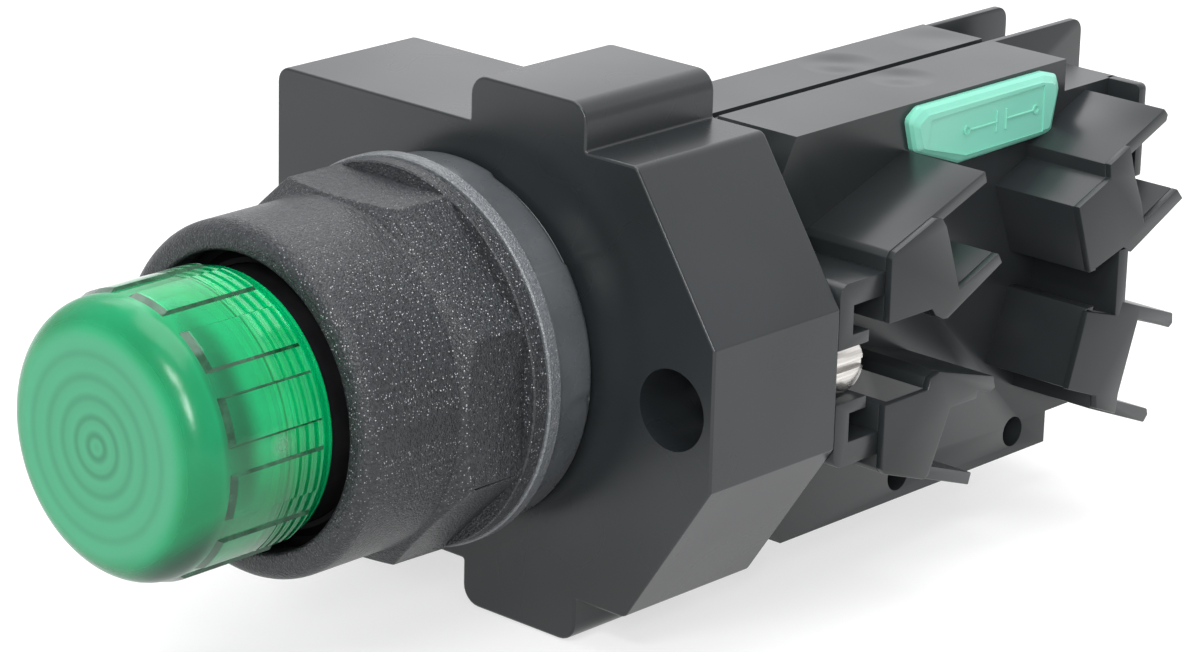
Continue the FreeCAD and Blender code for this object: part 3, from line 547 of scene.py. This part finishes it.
def green_lens():
    """Clear green moulding, frosted on its face, where faint turned rings show; painted shade darkens its
    rings, outline, rounding, low side and a line at the seam.
    """
    mat, tree, place = new_material("lens_green")
    radius, depth = radius_and_depth(tree, place)
    front = ranged(tree, depth, -44.8 * MM, -45.5 * MM)
    frosted = product(tree, front, ranged(tree, radius, 12.0 * MM, 9.8 * MM, smooth=True))
    clear = calculate(tree, "SUBTRACT", 1.0, frosted)
    turn = ranged(tree, depth, -40.5 * MM, -43.2 * MM)

    # Green of the frosted face, darkened at its rings by painted shade, and of the clear sides
    rings = tone_row(tree, product(tree, radius, 0.1 / MM),
                     [(r / 10.0, (level, level, level)) for r, level in ring_shade_tones], smooth=True)
    face = mix(tree, 1.0, (0.105, 0.54, 0.295, 1), rings, "MULTIPLY")
    cloud = speckle(tree, place, 140.0, 3.0)
    side = two_tones(tree, cloud, (0.0, 0.62, 0.20), (0.0, 0.82, 0.31), 0.3, 0.7)
    green = mix(tree, frosted, side, face)

    # Painted shade, where it turns dark: its outline, a band behind the face, the seam, the low side, the
    # rounding
    facing = node(tree, "ShaderNodeLayerWeight", {"Blend": 0.5}).outputs["Facing"]
    outline = ranged(tree, facing, 0.60, 0.97, 0.0, 0.85)
    none, grey = (0, 0, 0), (0.66, 0.66, 0.66)
    band = tone_row(tree, ranged(tree, depth, -44.2 * MM, -37.8 * MM),
                    [(0.0, none), (0.30, grey), (0.62, grey), (1.0, none)], smooth=True)
    band = product(tree, band, toward(tree, place, lit_side, 7.5, 13.0, 0.1))
    seam = calculate(tree, "COMPARE", depth, lens_seam_y * MM, 0.11 * MM)
    seam = spread_value(tree, seam, 0.0, 0.55)
    shade_side = toward(tree, place, low_side, 8.0, 12.6, 0.0)
    shade_side = product(tree, shade_side, spread_value(tree, turn, 0.45, 0.95))
    shade_side = product(tree, shade_side, clear)
    rounding = product(tree, product(tree, turn, clear), 0.58)
    lens_painted_shade = strongest(tree, outline, band, seam, shade_side, rounding)
    green = mix(tree, lens_painted_shade, green, (0.004, 0.05, 0.028, 1))

    # Pale rough spot of the moulding's gate
    gate = ranged(tree, distance_from(tree, place, gate_place), 1.6 * MM, 0.3 * MM)
    spot = product(tree, gate, speckle(tree, place, 3600.0, 2.0, 0.8))
    green = mix(tree, spot, green, (0.60, 0.90, 0.72, 1))
    frost = calculate(tree, "ADD", spread_value(tree, frosted, 0.05, 0.28),
                      spread_value(tree, turn, 0.0, 0.2))
    rough = calculate(tree, "MULTIPLY_ADD", gate, 0.25, frost)

    # Turned grooves seen through the skirt, slow waves, fine grain, and the gate's relief
    ripple = calculate(tree, "SINE", product(tree, depth, TURN / (groove_pitch * MM)))
    skirt = ranged(tree, depth, step_y * MM, (step_y + 0.6) * MM)
    normal = bump(tree, product(tree, ripple, skirt), 0.00006)
    normal = bump(tree, speckle(tree, place, 240.0), 0.00003, under=normal)
    normal = bump(tree, speckle(tree, place, 1900.0), 0.000012, under=normal)
    return surface(mat, {
        "Base Color": green,
        "Roughness": rough,
        "Transmission Weight": spread_value(tree, turn, 0.68, 0.42),
        "IOR": lens_ior,
        "Normal": bump(tree, spot, 0.00025, under=normal),
        "Specular IOR Level": 0.32,
    })


def slope_shade_material():
    """Sloped edges of the lens pads, coloured dark green as painted shade where the moulding looks dark."""
    mat, tree, place = new_material("pad_slope_shade")
    cloud = speckle(tree, place, 700.0, 3.0)
    return surface(mat, {
        "Base Color": two_tones(tree, cloud, (0.004, 0.05, 0.02), (0.03, 0.14, 0.07), 0.3, 0.7),
        "Roughness": spread_value(tree, cloud, 0.08, 0.2),
        "Transmission Weight": 0.3,
        "IOR": lens_ior,
    })


# Sink marks on the blocks' top: centre, reach and depth in millimetres
sink_marks = (
    ((7.9, 46.8, 20.3), 4.5, 0.4),
    ((15.4, 47.4, 20.3), 4.0, 0.3),
    ((8.5, 62.0, 20.3), 5.0, 0.2),
)
nut_black = spark_textured("nut_black", (0.021, 0.023, 0.025), (0.052, 0.056, 0.060),
                           depth=0.00011, scale=3000.0, rough=(0.26, 0.42), gloss=0.28, glint=0.6)
ring_black = spark_textured("ring_black", (0.095, 0.103, 0.110), (0.155, 0.165, 0.175),
                            depth=0.00008, scale=3400.0, rough=(0.28, 0.42), gloss=0.8, glint=0.4)
body_black = moulded("body_black", (0.012, 0.015, 0.016), (0.017, 0.020, 0.022),
                     rough=(0.24, 0.32), gloss=0.5)
# Near-black, nearly matt plastic for the bushing and lip seal: painted shade, as dark as the gap they sit in
recess_shade_black = moulded("recess_shade_black", (0.004, 0.004, 0.005), (0.006, 0.006, 0.007),
                       rough=(0.5, 0.6), gloss=0.1)
block_black = moulded("block_black", (0.015, 0.018, 0.0185), (0.022, 0.025, 0.027),
                      rough=(0.25, 0.34), gloss=0.4, dents=sink_marks)
tag_mint = moulded("tag_mint", (0.18, 0.55, 0.41), (0.21, 0.60, 0.46), rough=(0.26, 0.34), gloss=0.7)
rubber_black = smooth_rubber()
sleeve_paint = painted_sleeve()
white_plastic = moulded("white_plastic", (0.62, 0.62, 0.58), (0.70, 0.69, 0.66),
                        rough=(0.4, 0.5), gloss=0.5)
nickel = worked_metal("nickel_plate", (0.42, 0.40, 0.38), (0.75, 0.73, 0.70))
brass = worked_metal("brass_sheet", (0.55, 0.38, 0.14), (0.80, 0.60, 0.28))
spring_steel = worked_metal("spring_steel", (0.30, 0.30, 0.31), (0.60, 0.60, 0.61))
core_steel = worked_metal("core_steel", (0.12, 0.12, 0.13), (0.30, 0.30, 0.31), (8.0, 0.1, 0.1), 900.0)
coil_copper = wound_wire()
bulb_glass = clear_glass()
lens_green = green_lens()
pad_slope_shade = slope_shade_material()


def dress(piece, mat):
    piece.data.materials.clear()
    piece.data.materials.append(mat)


def show(piece, node_names, mat):
    """Dress a new piece that stands still, and hide the CAD nodes it stands for."""
    dress(piece, mat)
    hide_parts(*node_names)
    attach(piece, "base")


# Lens: spun shell with twelve raised pads
def lens_profile():
    """Half section from the middle of the face, round the skirt, to the back of the face."""
    outer = [(0.0, lens_face_y), (5.0, lens_face_y), (9.0, lens_face_y)]
    outer += arc(lens_r - lens_round, lens_face_y + lens_round, lens_round, -90, 0, 14)
    outer += [(lens_r, y) for y in (pad_front_y, pad_front_y + 1.0, -38.0, step_y, pad_back_y, -30.2)]
    outer.append((lens_r - 0.15, lens_skirt_y))

    skirt = [(sleeve_seat_r, lens_skirt_y)]
    groove_r = sleeve_seat_r + 0.28
    y = lens_skirt_y - 0.6
    for _ in range(4):
        skirt += [(sleeve_seat_r, y), (groove_r, y - 0.35), (groove_r, y - 0.55), (sleeve_seat_r, y - 0.9)]
        y -= groove_pitch

    inner_r = lens_r - lens_wall
    round_in = lens_round - lens_wall
    back_face = lens_face_y + lens_wall
    inside = [(sleeve_seat_r, step_y), (inner_r, step_y - 0.15)]
    inside += arc(inner_r - round_in, back_face + round_in, round_in, 0, -90, 8)
    for r in face_rings:
        inside += [(r + 0.28, back_face), (r, back_face - 0.22), (r - 0.28, back_face)]
    inside.append((0.0, back_face))
    return outer + skirt + inside


def make_lens():
    piece = turned("lens_dome", lens_profile(), steps=144)
    start_edit(piece, "FACE")

    def on_pad(face):
        centre = face.calc_center_median()
        r, angle = polar(centre)
        if r < lens_r - 0.1 or not pad_front_y <= centre.y / MM <= pad_back_y:
            return False
        return (angle - pad_start) % pad_pitch < pad_spread
    pick(piece, "faces", on_pad)
    bpy.ops.mesh.inset(thickness=0.02 * MM, depth=0.0)
    bpy.ops.mesh.inset(thickness=0.26 * MM, depth=pad_height * MM)
    bpy.ops.mesh.select_mode(type="VERT")

    def on_front_edge(v):
        return polar(v.co)[0] > lens_r + 0.2 and v.co.y / MM < pad_front_y + 0.5
    pick(piece, "verts", on_front_edge)
    bpy.ops.transform.translate(value=mm(0, 0.45, 0))
    bpy.ops.mesh.select_mode(type="FACE")

    def on_slope(face):
        centre = face.calc_center_median()
        inside_pad = pad_front_y - 0.2 < centre.y / MM < pad_back_y + 0.2
        return inside_pad and lens_r + 0.05 < polar(centre)[0] < lens_r + pad_height - 0.05
    piece.data.materials.append(lens_green)
    # The pads' sloped edges take the dark material of painted shade
    piece.data.materials.append(pad_slope_shade)
    pick(piece, "faces", on_slope)
    piece.active_material_index = 1
    bpy.ops.object.material_slot_assign()
    bpy.ops.object.mode_set(mode="OBJECT")
    shade(piece, 25)
    return piece


lens = make_lens()
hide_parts("lens_cap")
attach(lens, "button")


# Collar nut: turned blank, eight flats cut across its cone
def octagon(radius):
    """Corner points of the nut's eight flats, a flat facing +X."""
    turns = [(i + 0.5) * TURN / 8 for i in range(8)]
    return [(radius * math.cos(a), radius * math.sin(a)) for a in turns]


def make_nut():
    back = flange_front_y + 0.2
    blank_r = corner_r + 0.6
    profile = [(neck_r, back), (blank_r, back), (blank_r, corner_y + 0.37), (nut_collar_r, cone_y),
               (nut_collar_r, -24.0)]
    profile += arc(nut_collar_r - nut_rim_round, nut_rim_y + nut_rim_round, nut_rim_round, 0, -90, 10)
    profile += [(nut_mouth_r + 0.5, nut_rim_y), (nut_mouth_r + 0.12, nut_rim_y + 0.15),
                (nut_mouth_r, nut_rim_y + 0.5), (nut_mouth_r, nut_mouth_back_y), (neck_r, nut_mouth_back_y),
                (neck_r, back)]
    body = turned("nut_body", profile, steps=192)
    keep_within(body, prism("nut_flats", octagon(corner_r), "Y", -31.0, -8.0, edge=0))
    round_edges(body, 0.3, segments=3, angle=14)
    shade(body, 40)
    edge = [(neck_r, flange_front_y), (corner_r - 0.15, flange_front_y), (corner_r, flange_front_y + 0.15),
            (corner_r, flange_back_y - 0.12), (corner_r - 0.12, flange_back_y), (neck_r, flange_back_y),
            (neck_r, flange_front_y)]
    return join("collar_nut", [body, turned("nut_flange", edge, steps=192)])


show(make_nut(), ["retaining_nut"], nut_black)


def make_trim_ring():
    front = flange_back_y + 0.06
    profile = [(trim_bore_r, front), (trim_r - 0.15, front), (trim_r, front + 0.15),
               (trim_r, trim_back_y - 0.2), (trim_r - 0.2, trim_back_y), (trim_bore_r, trim_back_y),
               (trim_bore_r, front)]
    return turned("thrust_ring", profile, steps=192)


show(make_trim_ring(), ["trim_ring"], ring_black)


def make_gasket():
    """Rubber ring with a shallow recess on its upper right and a small dent on its right."""
    front = trim_back_y + 0.05
    outer = [(gasket_r - 1.1, front)] + arc(gasket_r - 1.0, front + 1.0, 1.0, -80, 0, 7)
    outer += [(gasket_r, -3.6), (gasket_r, -2.4)] + arc(gasket_r - 1.4, -1.4, 1.4, 10, 88, 8)
    profile = [(gasket_bore_r, front)] + outer
    profile += [(gasket_r - 1.9, -0.02), (gasket_bore_r, -0.02), (gasket_bore_r, front)]
    piece = turned("panel_seal", profile, steps=240)
    start_edit(piece, "VERT")

    def in_recess(v):
        r, angle = polar(v.co)
        return r > gasket_r - 0.75 and 37.0 < angle < 74.5
    pick(piece, "verts", in_recess)
    bpy.ops.transform.resize(value=(0.985, 1.0, 0.985), center_override=(0, 0, 0))

    def in_dent(v):
        r, angle = polar(v.co)
        return r > gasket_r - 0.4 and -7.5 < angle < -3.5 and v.co.y / MM > -3.0
    pick(piece, "verts", in_dent)
    bpy.ops.transform.resize(value=(0.988, 1.0, 0.988), center_override=(0, 0, 0))
    bpy.ops.object.mode_set(mode="OBJECT")
    shade(piece, 40)
    return piece


show(make_gasket(), ["panel_gasket"], rubber_black)


# Housing: outline with a tab above and below, pulled back from its front face
def housing_outline():
    top = [(32.9, 7.0), (22.6, 22.4), (16.2, 22.4), (16.2, 27.0), (1.2, 27.0), (1.2, 22.4), (-25.5, 22.4)]
    return top + flip(reversed(top))


def make_housing():
    radii = [0.3, 1.0, 0.25, 2.0, 2.0, 0.25, 1.6, 1.6, 0.25, 2.0, 2.0, 0.25, 1.0, 0.3]
    line = raise_by(rounded(housing_outline(), radii), body_z)
    piece = prism("push_button_body", line, "Y", 0.0, body_depth, edge=0)
    round_edges(piece, 0.24, segments=3, angle=25, clamp=False)

    # Room inside the walls, open at the back, and the hole through the body
    past_back = body_depth + 1.0
    room = raise_by([(p[0] * 0.94 + 0.2, p[1] * 0.92) for p in housing_outline()], body_z)
    cut_out(piece, prism("body_room", room, "Y", body_front_wall, past_back, edge=0))
    bore = [(0.0, -1.0), (hole_r, -1.0), (hole_r, past_back), (0.0, past_back)]
    cut_out(piece, turned("hole_tool", bore, 72, side=hole_x, z=body_z))
    shade(piece)

    # Sleeve that lines the hole where it crosses the room
    inner, outer = hole_r + 0.03, hole_r + 0.9
    sleeve = [(inner, 1.0), (outer, 1.0), (outer, body_depth - 0.1), (inner, body_depth - 0.1), (inner, 1.0)]
    return join("push_button_body", [piece, turned("hole_sleeve", sleeve, 72, side=hole_x, z=body_z)])


show(make_housing(), ["housing_shell"], body_black)


# Contact blocks: outlines as (y, height) measured from the block's centre
def block_outline():
    top = [(18.3, 12.5), (23.0, 20.9), (65.8, 20.9), (65.8, 17.5), (74.6, 17.5)]
    return top + flip(reversed(top))


def low_hood_lines():
    """Arms and closing plates of the lower shrouds, whose ends turn up a little more."""
    front_arm = [(31.5, 4.1), (31.9, 3.0), (33.2, 2.6), (41.9, 5.1), (42.3, 6.4), (41.3, 6.7), (39.4, 6.0),
                 (33.6, 4.5)]
    front_plate = [(24.9, 4.1), (24.9, 10.7), (25.4, 11.3), (31.5, 13.4), (32.2, 13.2), (32.6, 12.4),
                   (35.2, 6.8), (39.3, 6.85), (39.4, 6.0), (41.3, 6.7), (42.3, 6.4), (41.9, 5.1),
                   (33.2, 2.6), (31.9, 3.0), (31.5, 4.1)]
    rear_arm = [(57.6, 2.9), (58.0, 1.9), (62.6, 3.5), (63.1, 2.1), (66.3, 3.3), (72.2, 5.4), (72.3, 6.5),
                (71.7, 6.9), (65.0, 4.5)]
    rear_plate = [(54.6, 9.6), (59.5, 11.5), (59.7, 12.9), (63.1, 14.3), (63.4, 12.2), (66.05, 4.7),
                  (71.7, 6.9), (72.3, 6.5), (72.2, 5.4), (66.3, 3.3), (63.1, 2.1), (62.6, 3.5), (57.2, 1.9)]
    return {1: front_arm, 2: front_plate, 4: rear_arm, 5: rear_plate}


def hood_lines():
    """Outlines of the upper shrouds, each with 1 if it is a closing plate, and the hook in front."""
    front_slab = [(24.9, 10.7), (25.4, 11.3), (39.8, 16.3), (40.2, 15.1), (26.2, 10.1), (26.2, 4.2),
                  (24.9, 4.2)]
    front_arm = [(31.5, 4.2), (32.1, 3.4), (33.2, 2.8), (34.0, 2.7), (42.3, 6.6), (41.6, 7.7), (34.6, 4.9),
                 (33.6, 4.5)]
    front_plate = [(24.9, 4.2), (24.9, 10.7), (25.4, 11.3), (31.5, 13.4), (32.4, 13.2), (33.1, 12.3),
                   (33.7, 10.8), (35.6, 5.35), (41.6, 7.7), (42.3, 6.6), (34.0, 2.7), (33.2, 2.8),
                   (32.1, 3.4), (31.5, 4.2)]
    rear_slab = [(54.8, 9.6), (59.9, 11.6), (59.6, 13.1), (69.4, 17.0), (70.1, 16.3), (69.9, 15.6),
                 (61.2, 12.1), (61.4, 10.6), (56.2, 8.6), (59.3, 1.9), (58.0, 1.9)]
    rear_arm = [(57.6, 2.9), (58.0, 1.9), (62.65, 3.8), (64.0, 3.0), (72.6, 7.0), (71.5, 8.2), (64.2, 5.0)]
    rear_plate = [(54.6, 9.7), (59.8, 11.7), (59.5, 13.2), (62.75, 14.5), (63.8, 11.3), (65.3, 8.1),
                  (66.0, 5.8), (71.5, 8.2), (72.6, 7.0), (64.0, 3.0), (62.65, 3.8), (57.2, 2.3)]
    corner = arc(18.3 + 1.2, 9.3 - 1.2, 1.2, 180, 90, 4)
    hook = [(18.3, 2.7)] + corner
    hook += [(25.0, 9.3), (25.0, 6.9), (20.45, 6.9), (20.45, 4.0), (22.9, 4.0), (22.9, 2.7)]
    return [(front_slab, 0), (front_arm, 0), (front_plate, 1),
            (rear_slab, 0), (rear_arm, 0), (rear_plate, 1), (hook, 0)]


def shrouds(name, wall_x, depth, side):
    """Shrouds over and under the terminals of a block; side is 1 if its wall faces +X, or else -1."""
    pieces = []
    foot = wall_x - side * 0.4
    top = wall_x + side * depth
    plate = wall_x + side * (depth + shroud_plate)
    low = low_hood_lines()
    for i, (line, is_plate) in enumerate(hood_lines()):
        for half in (0, 1):
            pts = raise_by(flip(low.get(i, line)) if half else line, block_z)
            a, b = (top - side * 0.01, plate) if is_plate else (foot, top)
            pieces.append(prism("%s_%d_%d" % (name, i, half), pts, "X", min(a, b), max(a, b), 0.12))
    post = raise_by([(62.0, -4.2), (62.0, 3.6), (63.6, 3.6), (63.6, -4.2)], block_z)
    b = plate - 0.03 if side > 0 else top
    pieces.append(prism(name + "_post", post, "X", min(foot, b), max(foot, b), 0.12))
    return pieces


def slab_between(name, x0, x1, y0, y1, z0, z1, edge=0.1):
    return prism(name, [(y0, z0), (y1, z0), (y1, z1), (y0, z1)], "X", x0, x1, edge)


def make_block(name, wall_x, depth, side, extra):
    """A block's body with rear room and pin holes, shrouds that stand out by depth, and extra pieces."""
    x0, x1 = sorted((seam_x + side * 0.48, wall_x))
    body = prism(name + "_main", raise_by(block_outline(), block_z), "X", x0, x1, edge=0)
    x0, x1 = sorted((seam_x + side * 1.68, wall_x - side * 1.2))
    cut_out(body, slab_between("tail_tool", x0, x1, 64.8, 76.0, -16.3 + block_z, 16.3 + block_z, edge=0))
    pin = [(0.0, -20.0), (pin_hole_r, -20.0), (pin_hole_r, 60.0), (0.0, 60.0)]
    for y in pin_holes_y:
        cut_out(body, turned("pin_tool", pin, 48, side=y, z=pin_holes_z + block_z, axis="X"))
    round_edges(body, 0.15, angle=25)
    shade(body)
    return join(name, [body] + shrouds(name, wall_x, depth, side) + extra)


def terminal_pads(name, wall_x, side, terminals):
    """Raised seats under the clamp plates."""
    out = []
    low, high = -2.55 + block_z, 2.55 + block_z
    for y, reach in terminals:
        a, b = sorted((wall_x - side * 0.5, wall_x + side * (reach - 0.85)))
        out.append(slab_between("%s_pad_%d" % (name, y), a, b, y - 2.6, y + 2.5, low, high))
    return out


def make_right_block():
    extra = terminal_pads("right", right_wall_x, 1, right_terminals)
    ear = rounded([(22.0, 6.9), (26.5, 6.9), (26.5, 16.9), (22.0, 16.9)], [0, 0.3, 0.6, 0])
    extra.append(prism("right_ear", ear, "Y", 73.4, 74.6, 0.12))
    return make_block("contact_block_right", right_wall_x, depth=10.1, side=1, extra=extra)


def make_left_block():
    extra = terminal_pads("left", left_wall_x, -1, left_terminals)
    fin = rounded([(64.8, -6.0), (64.8, 20.2), (79.2, 20.2), (79.2, -6.0)], [0, 0, 1.5, 0.3])
    extra.append(prism("left_fin", fin, "X", left_wall_x, left_wall_x + 0.9))
    return make_block("contact_block_left", left_wall_x, depth=7.0, side=-1, extra=extra)


def make_divider():
    """Plate between the blocks, whose rear end stands out as a fin."""
    top = 20.55
    pts = [(18.3, 12.3), (23.1, top), (82.0, top), (82.0, -5.4), (74.6, -5.4), (74.6, -17.5), (65.8, -17.5),
           (65.8, -top), (23.1, -top), (18.3, -12.3)]
    line = raise_by(rounded(pts, [0, 0, 1.5, 0.3, 0, 0, 0, 0, 0, 0]), block_z)
    return prism("block_divider", line, "X", seam_x - 0.4, seam_x + 0.4, 0.1)


show(make_right_block(), ["block_body_right", "terminal_shrouds_right", "block_lugs_right"],
     block_black)
show(make_left_block(), ["block_body_left", "terminal_shrouds_left", "block_lugs_left"],
     block_black)
show(make_divider(), ["block_partition"], block_black)


# Circuit tag: bevelled border, sunk panel, contact symbol in low relief
def stroke(y0, z0, y1, z1, width=0.2):
    """Straight raised line on the tag's sunk panel."""
    half = width / 2
    if y0 == y1:
        outline = [(y0 - half, z0), (y0 + half, z0), (y0 + half, z1), (y0 - half, z1)]
    else:
        outline = [(y0, z0 - half), (y1, z0 - half), (y1, z0 + half), (y0, z0 + half)]
    return prism("tag_stroke", outline, "X", tag_face_x - 0.3, tag_face_x - 0.03, 0.04, 1)


def small_ring(y, z, radius=0.42, width=0.1):
    low, high = tag_face_x - 0.3, tag_face_x - 0.03
    inner, outer = radius - width, radius + width
    profile = [(inner, low), (inner, high), (outer, high), (outer, low), (inner, low)]
    return turned("tag_ring", profile, 32, side=y, z=z, axis="X")


def make_tag():
    line = [(39.4, 18.9), (41.0, 19.95), (61.2, 19.9), (63.3, 19.3), (63.9, 17.9), (62.9, 13.1), (47.7, 12.9),
            (40.4, 15.5)]
    line = rounded(line, [0.8, 1.2, 0.3, 0.9, 0.9, 0.5, 0.3, 0.7], 5)
    piece = prism("circuit_tag_plate", line, "X", 21.95, tag_face_x - 0.65, edge=0)
    start_edit(piece, "FACE")
    middle = mm(tag_face_x, 51.65, 16.4)
    for rise, across, up in ((0.3, 0.972, 0.92), (0.25, 0.955, 0.86), (0.1, 0.985, 0.95)):
        pick(piece, "faces", lambda f: f.normal.x > 0.95)
        bpy.ops.mesh.extrude_region_move(TRANSFORM_OT_translate={"value": mm(rise, 0, 0)})
        bpy.ops.transform.resize(value=(1.0, across, up), center_override=middle)
    bpy.ops.object.mode_set(mode="OBJECT")
    panel = [(42.3, 18.5), (60.8, 18.7), (60.9, 13.75), (48.1, 13.75), (42.0, 15.9)]
    cut_out(piece, prism("panel_tool", panel, "X", tag_face_x - 0.18, tag_face_x + 1.0, edge=0))
    shade(piece, 25)
    symbol = [small_ring(48.3, 16.3), small_ring(59.6, 16.35),
              stroke(48.75, 16.25, 53.1, 16.25), stroke(54.65, 16.3, 59.15, 16.3),
              stroke(53.1, 15.2, 53.1, 17.4), stroke(54.65, 15.2, 54.65, 17.4)]
    return join("tag_plate", [piece] + symbol)


show(make_tag(), ["circuit_tag"], tag_mint)


# Terminal screws: domed slotted heads on threaded shanks
def terminal_screw(wall_x, side, y, reach):
    tip = wall_x - side * 1.9
    seat = wall_x + side * (reach + 0.9)
    profile = [(0.0, tip)]
    for i in range(int((reach + 2.8) / thread_pitch)):
        start = tip + side * i * thread_pitch
        profile += [(1.45, start + side * 0.05), (1.75, start + side * 0.35)]
    # Washer and head as (radius, height over the seat)
    head = [(1.75, 0.0), (2.2, 0.0), (2.3, 0.12), (2.3, 0.55), (2.2, 0.68), (1.7, 0.72), (1.7, 1.0),
            (2.4, 1.04), (2.53, 1.18), (2.55, 1.6), (2.45, 1.85), (2.2, 2.0), (1.2, 2.08), (0.0, 2.1)]
    profile += [(r, seat + side * h) for r, h in head]
    screw = turned("screw", profile, 48, side=y, z=block_z, axis="X")
    low, high = sorted((seat + side * 1.5, seat + side * 3.0))
    cut_out(screw, slab_between("slot_tool", low, high, y - 4, y + 4, block_z - 0.4, block_z + 0.4, edge=0))
    shade(screw)
    return screw


def make_terminal_screws(name, wall_x, side, terminals):
    return join(name, [terminal_screw(wall_x, side, y, reach) for y, reach in terminals])


show(make_terminal_screws("wire_screws_right", right_wall_x, 1, right_terminals),
     ["terminal_screws_right"], nickel)
show(make_terminal_screws("wire_screws_left", left_wall_x, -1, left_terminals),
     ["terminal_screws_left"], nickel)


# Plain materials for the parts that stay as they are
finishes = {
    "housing_base": body_black, "operator_bushing": recess_shade_black, "plunger_sleeve": sleeve_paint,
    "pusher_yoke": block_black, "lip_seal": recess_shade_black, "lamp_holder": white_plastic,
    "lamp_socket": brass, "lamp_base": brass, "lamp_bulb": bulb_glass, "socket_contact": brass,
    "transformer_core": core_steel, "transformer_coil": coil_copper,
    "contact_carrier_left": white_plastic, "contact_carrier_right": white_plastic,
    "bridge_contact_left": brass, "bridge_contact_right": brass,
    "fixed_contacts_left": brass, "fixed_contacts_right": brass,
}
for name, obj in nodes.items():
    if name in finishes:
        dress(obj, finishes[name])
    elif "spring" in name:
        dress(obj, spring_steel)
    elif not obj.hide_render:
        dress(obj, nickel)


# Floor, lights, camera; places and sizes in metres
def make_stage():
    """Matt floor, lifted to the brightness of the background wherever it is seen."""
    clear_selection()
    floor_z = cad_box[0][2] - 0.0002  # just under the lowest tab
    bpy.ops.mesh.primitive_plane_add(size=6.0, location=(0.4, 1.0, floor_z))
    floor = bpy.context.object
    floor.name = "studio_floor"
    mat, tree, place = new_material("floor_pale")
    path = tree.nodes.new("ShaderNodeLightPath").outputs
    seen = strongest(tree, path["Is Camera Ray"], path["Is Glossy Ray"], path["Is Transmission Ray"])
    dress(floor, surface(mat, {
        "Base Color": two_tones(tree, speckle(tree, place, 2.0), (0.40, 0.40, 0.40), (0.42, 0.42, 0.42)),
        "Roughness": 0.9,
        "Specular IOR Level": 0.1,
        "Emission Color": (1, 1, 1, 1),
        "Emission Strength": product(tree, seen, 0.62),
    }))


def softbox(name, place, size, power):
    """Rectangular lamp that is turned to the middle of the button."""
    data = bpy.data.lights.new(name, "AREA")
    data.shape = "RECTANGLE"
    data.size, data.size_y = size
    data.energy = power
    lamp = bpy.data.objects.new(name, data)
    bpy.context.scene.collection.objects.link(lamp)
    button_middle = Vector((0.01, 0.02, 0.0))
    way = button_middle - Vector(place)
    lamp.location = place
    lamp.rotation_euler = way.to_track_quat("-Z", "Y").to_euler()


def make_lights():
    world = bpy.data.worlds.new("studio")
    bpy.context.scene.world = world
    world.use_nodes = True
    back = world.node_tree.nodes["Background"]
    back.inputs["Color"].default_value = (0.80, 0.80, 0.82, 1)
    back.inputs["Strength"].default_value = 1.0
    softbox("top_light", (0.0, 0.06, 0.82), (0.75, 0.75), 5.2)
    softbox("back_light", (-0.15, 0.95, 0.50), (1.7, 0.75), 2.6)
    softbox("left_light", (-0.62, 0.32, 0.68), (0.5, 0.4), 1.3)
    softbox("right_light", (0.50, -0.60, 0.34), (0.12, 0.22), 2.8)
    softbox("front_light", (0.30, -0.60, 0.60), (0.26, 0.10), 2.4)


def make_camera():
    """Camera fitted to the photograph."""
    place = (0.280552, -0.287813, 0.136066)
    azimuth = math.radians(42.308)
    rise = math.radians(18.547)
    roll = math.radians(1.504)
    back = Vector((math.sin(azimuth) * math.cos(rise), -math.cos(azimuth) * math.cos(rise), math.sin(rise)))
    right = Vector((math.cos(azimuth), math.sin(azimuth), 0))
    up = back.cross(right)
    side = math.cos(roll) * right + math.sin(roll) * up
    top = math.cos(roll) * up - math.sin(roll) * right
    data = bpy.data.cameras.new("photo_camera")
    data.sensor_fit = "HORIZONTAL"
    data.sensor_width = 36.0
    data.lens = 131.285
    data.clip_start = 0.01
    camera = bpy.data.objects.new("photo_camera", data)
    bpy.context.scene.collection.objects.link(camera)
    camera.matrix_world = Matrix.Translation(place) @ Matrix((side, top, back)).transposed().to_4x4()
    bpy.context.scene.camera = camera


make_stage()
make_lights()
make_camera()
bpy.context.scene.view_settings.view_transform = "Standard"
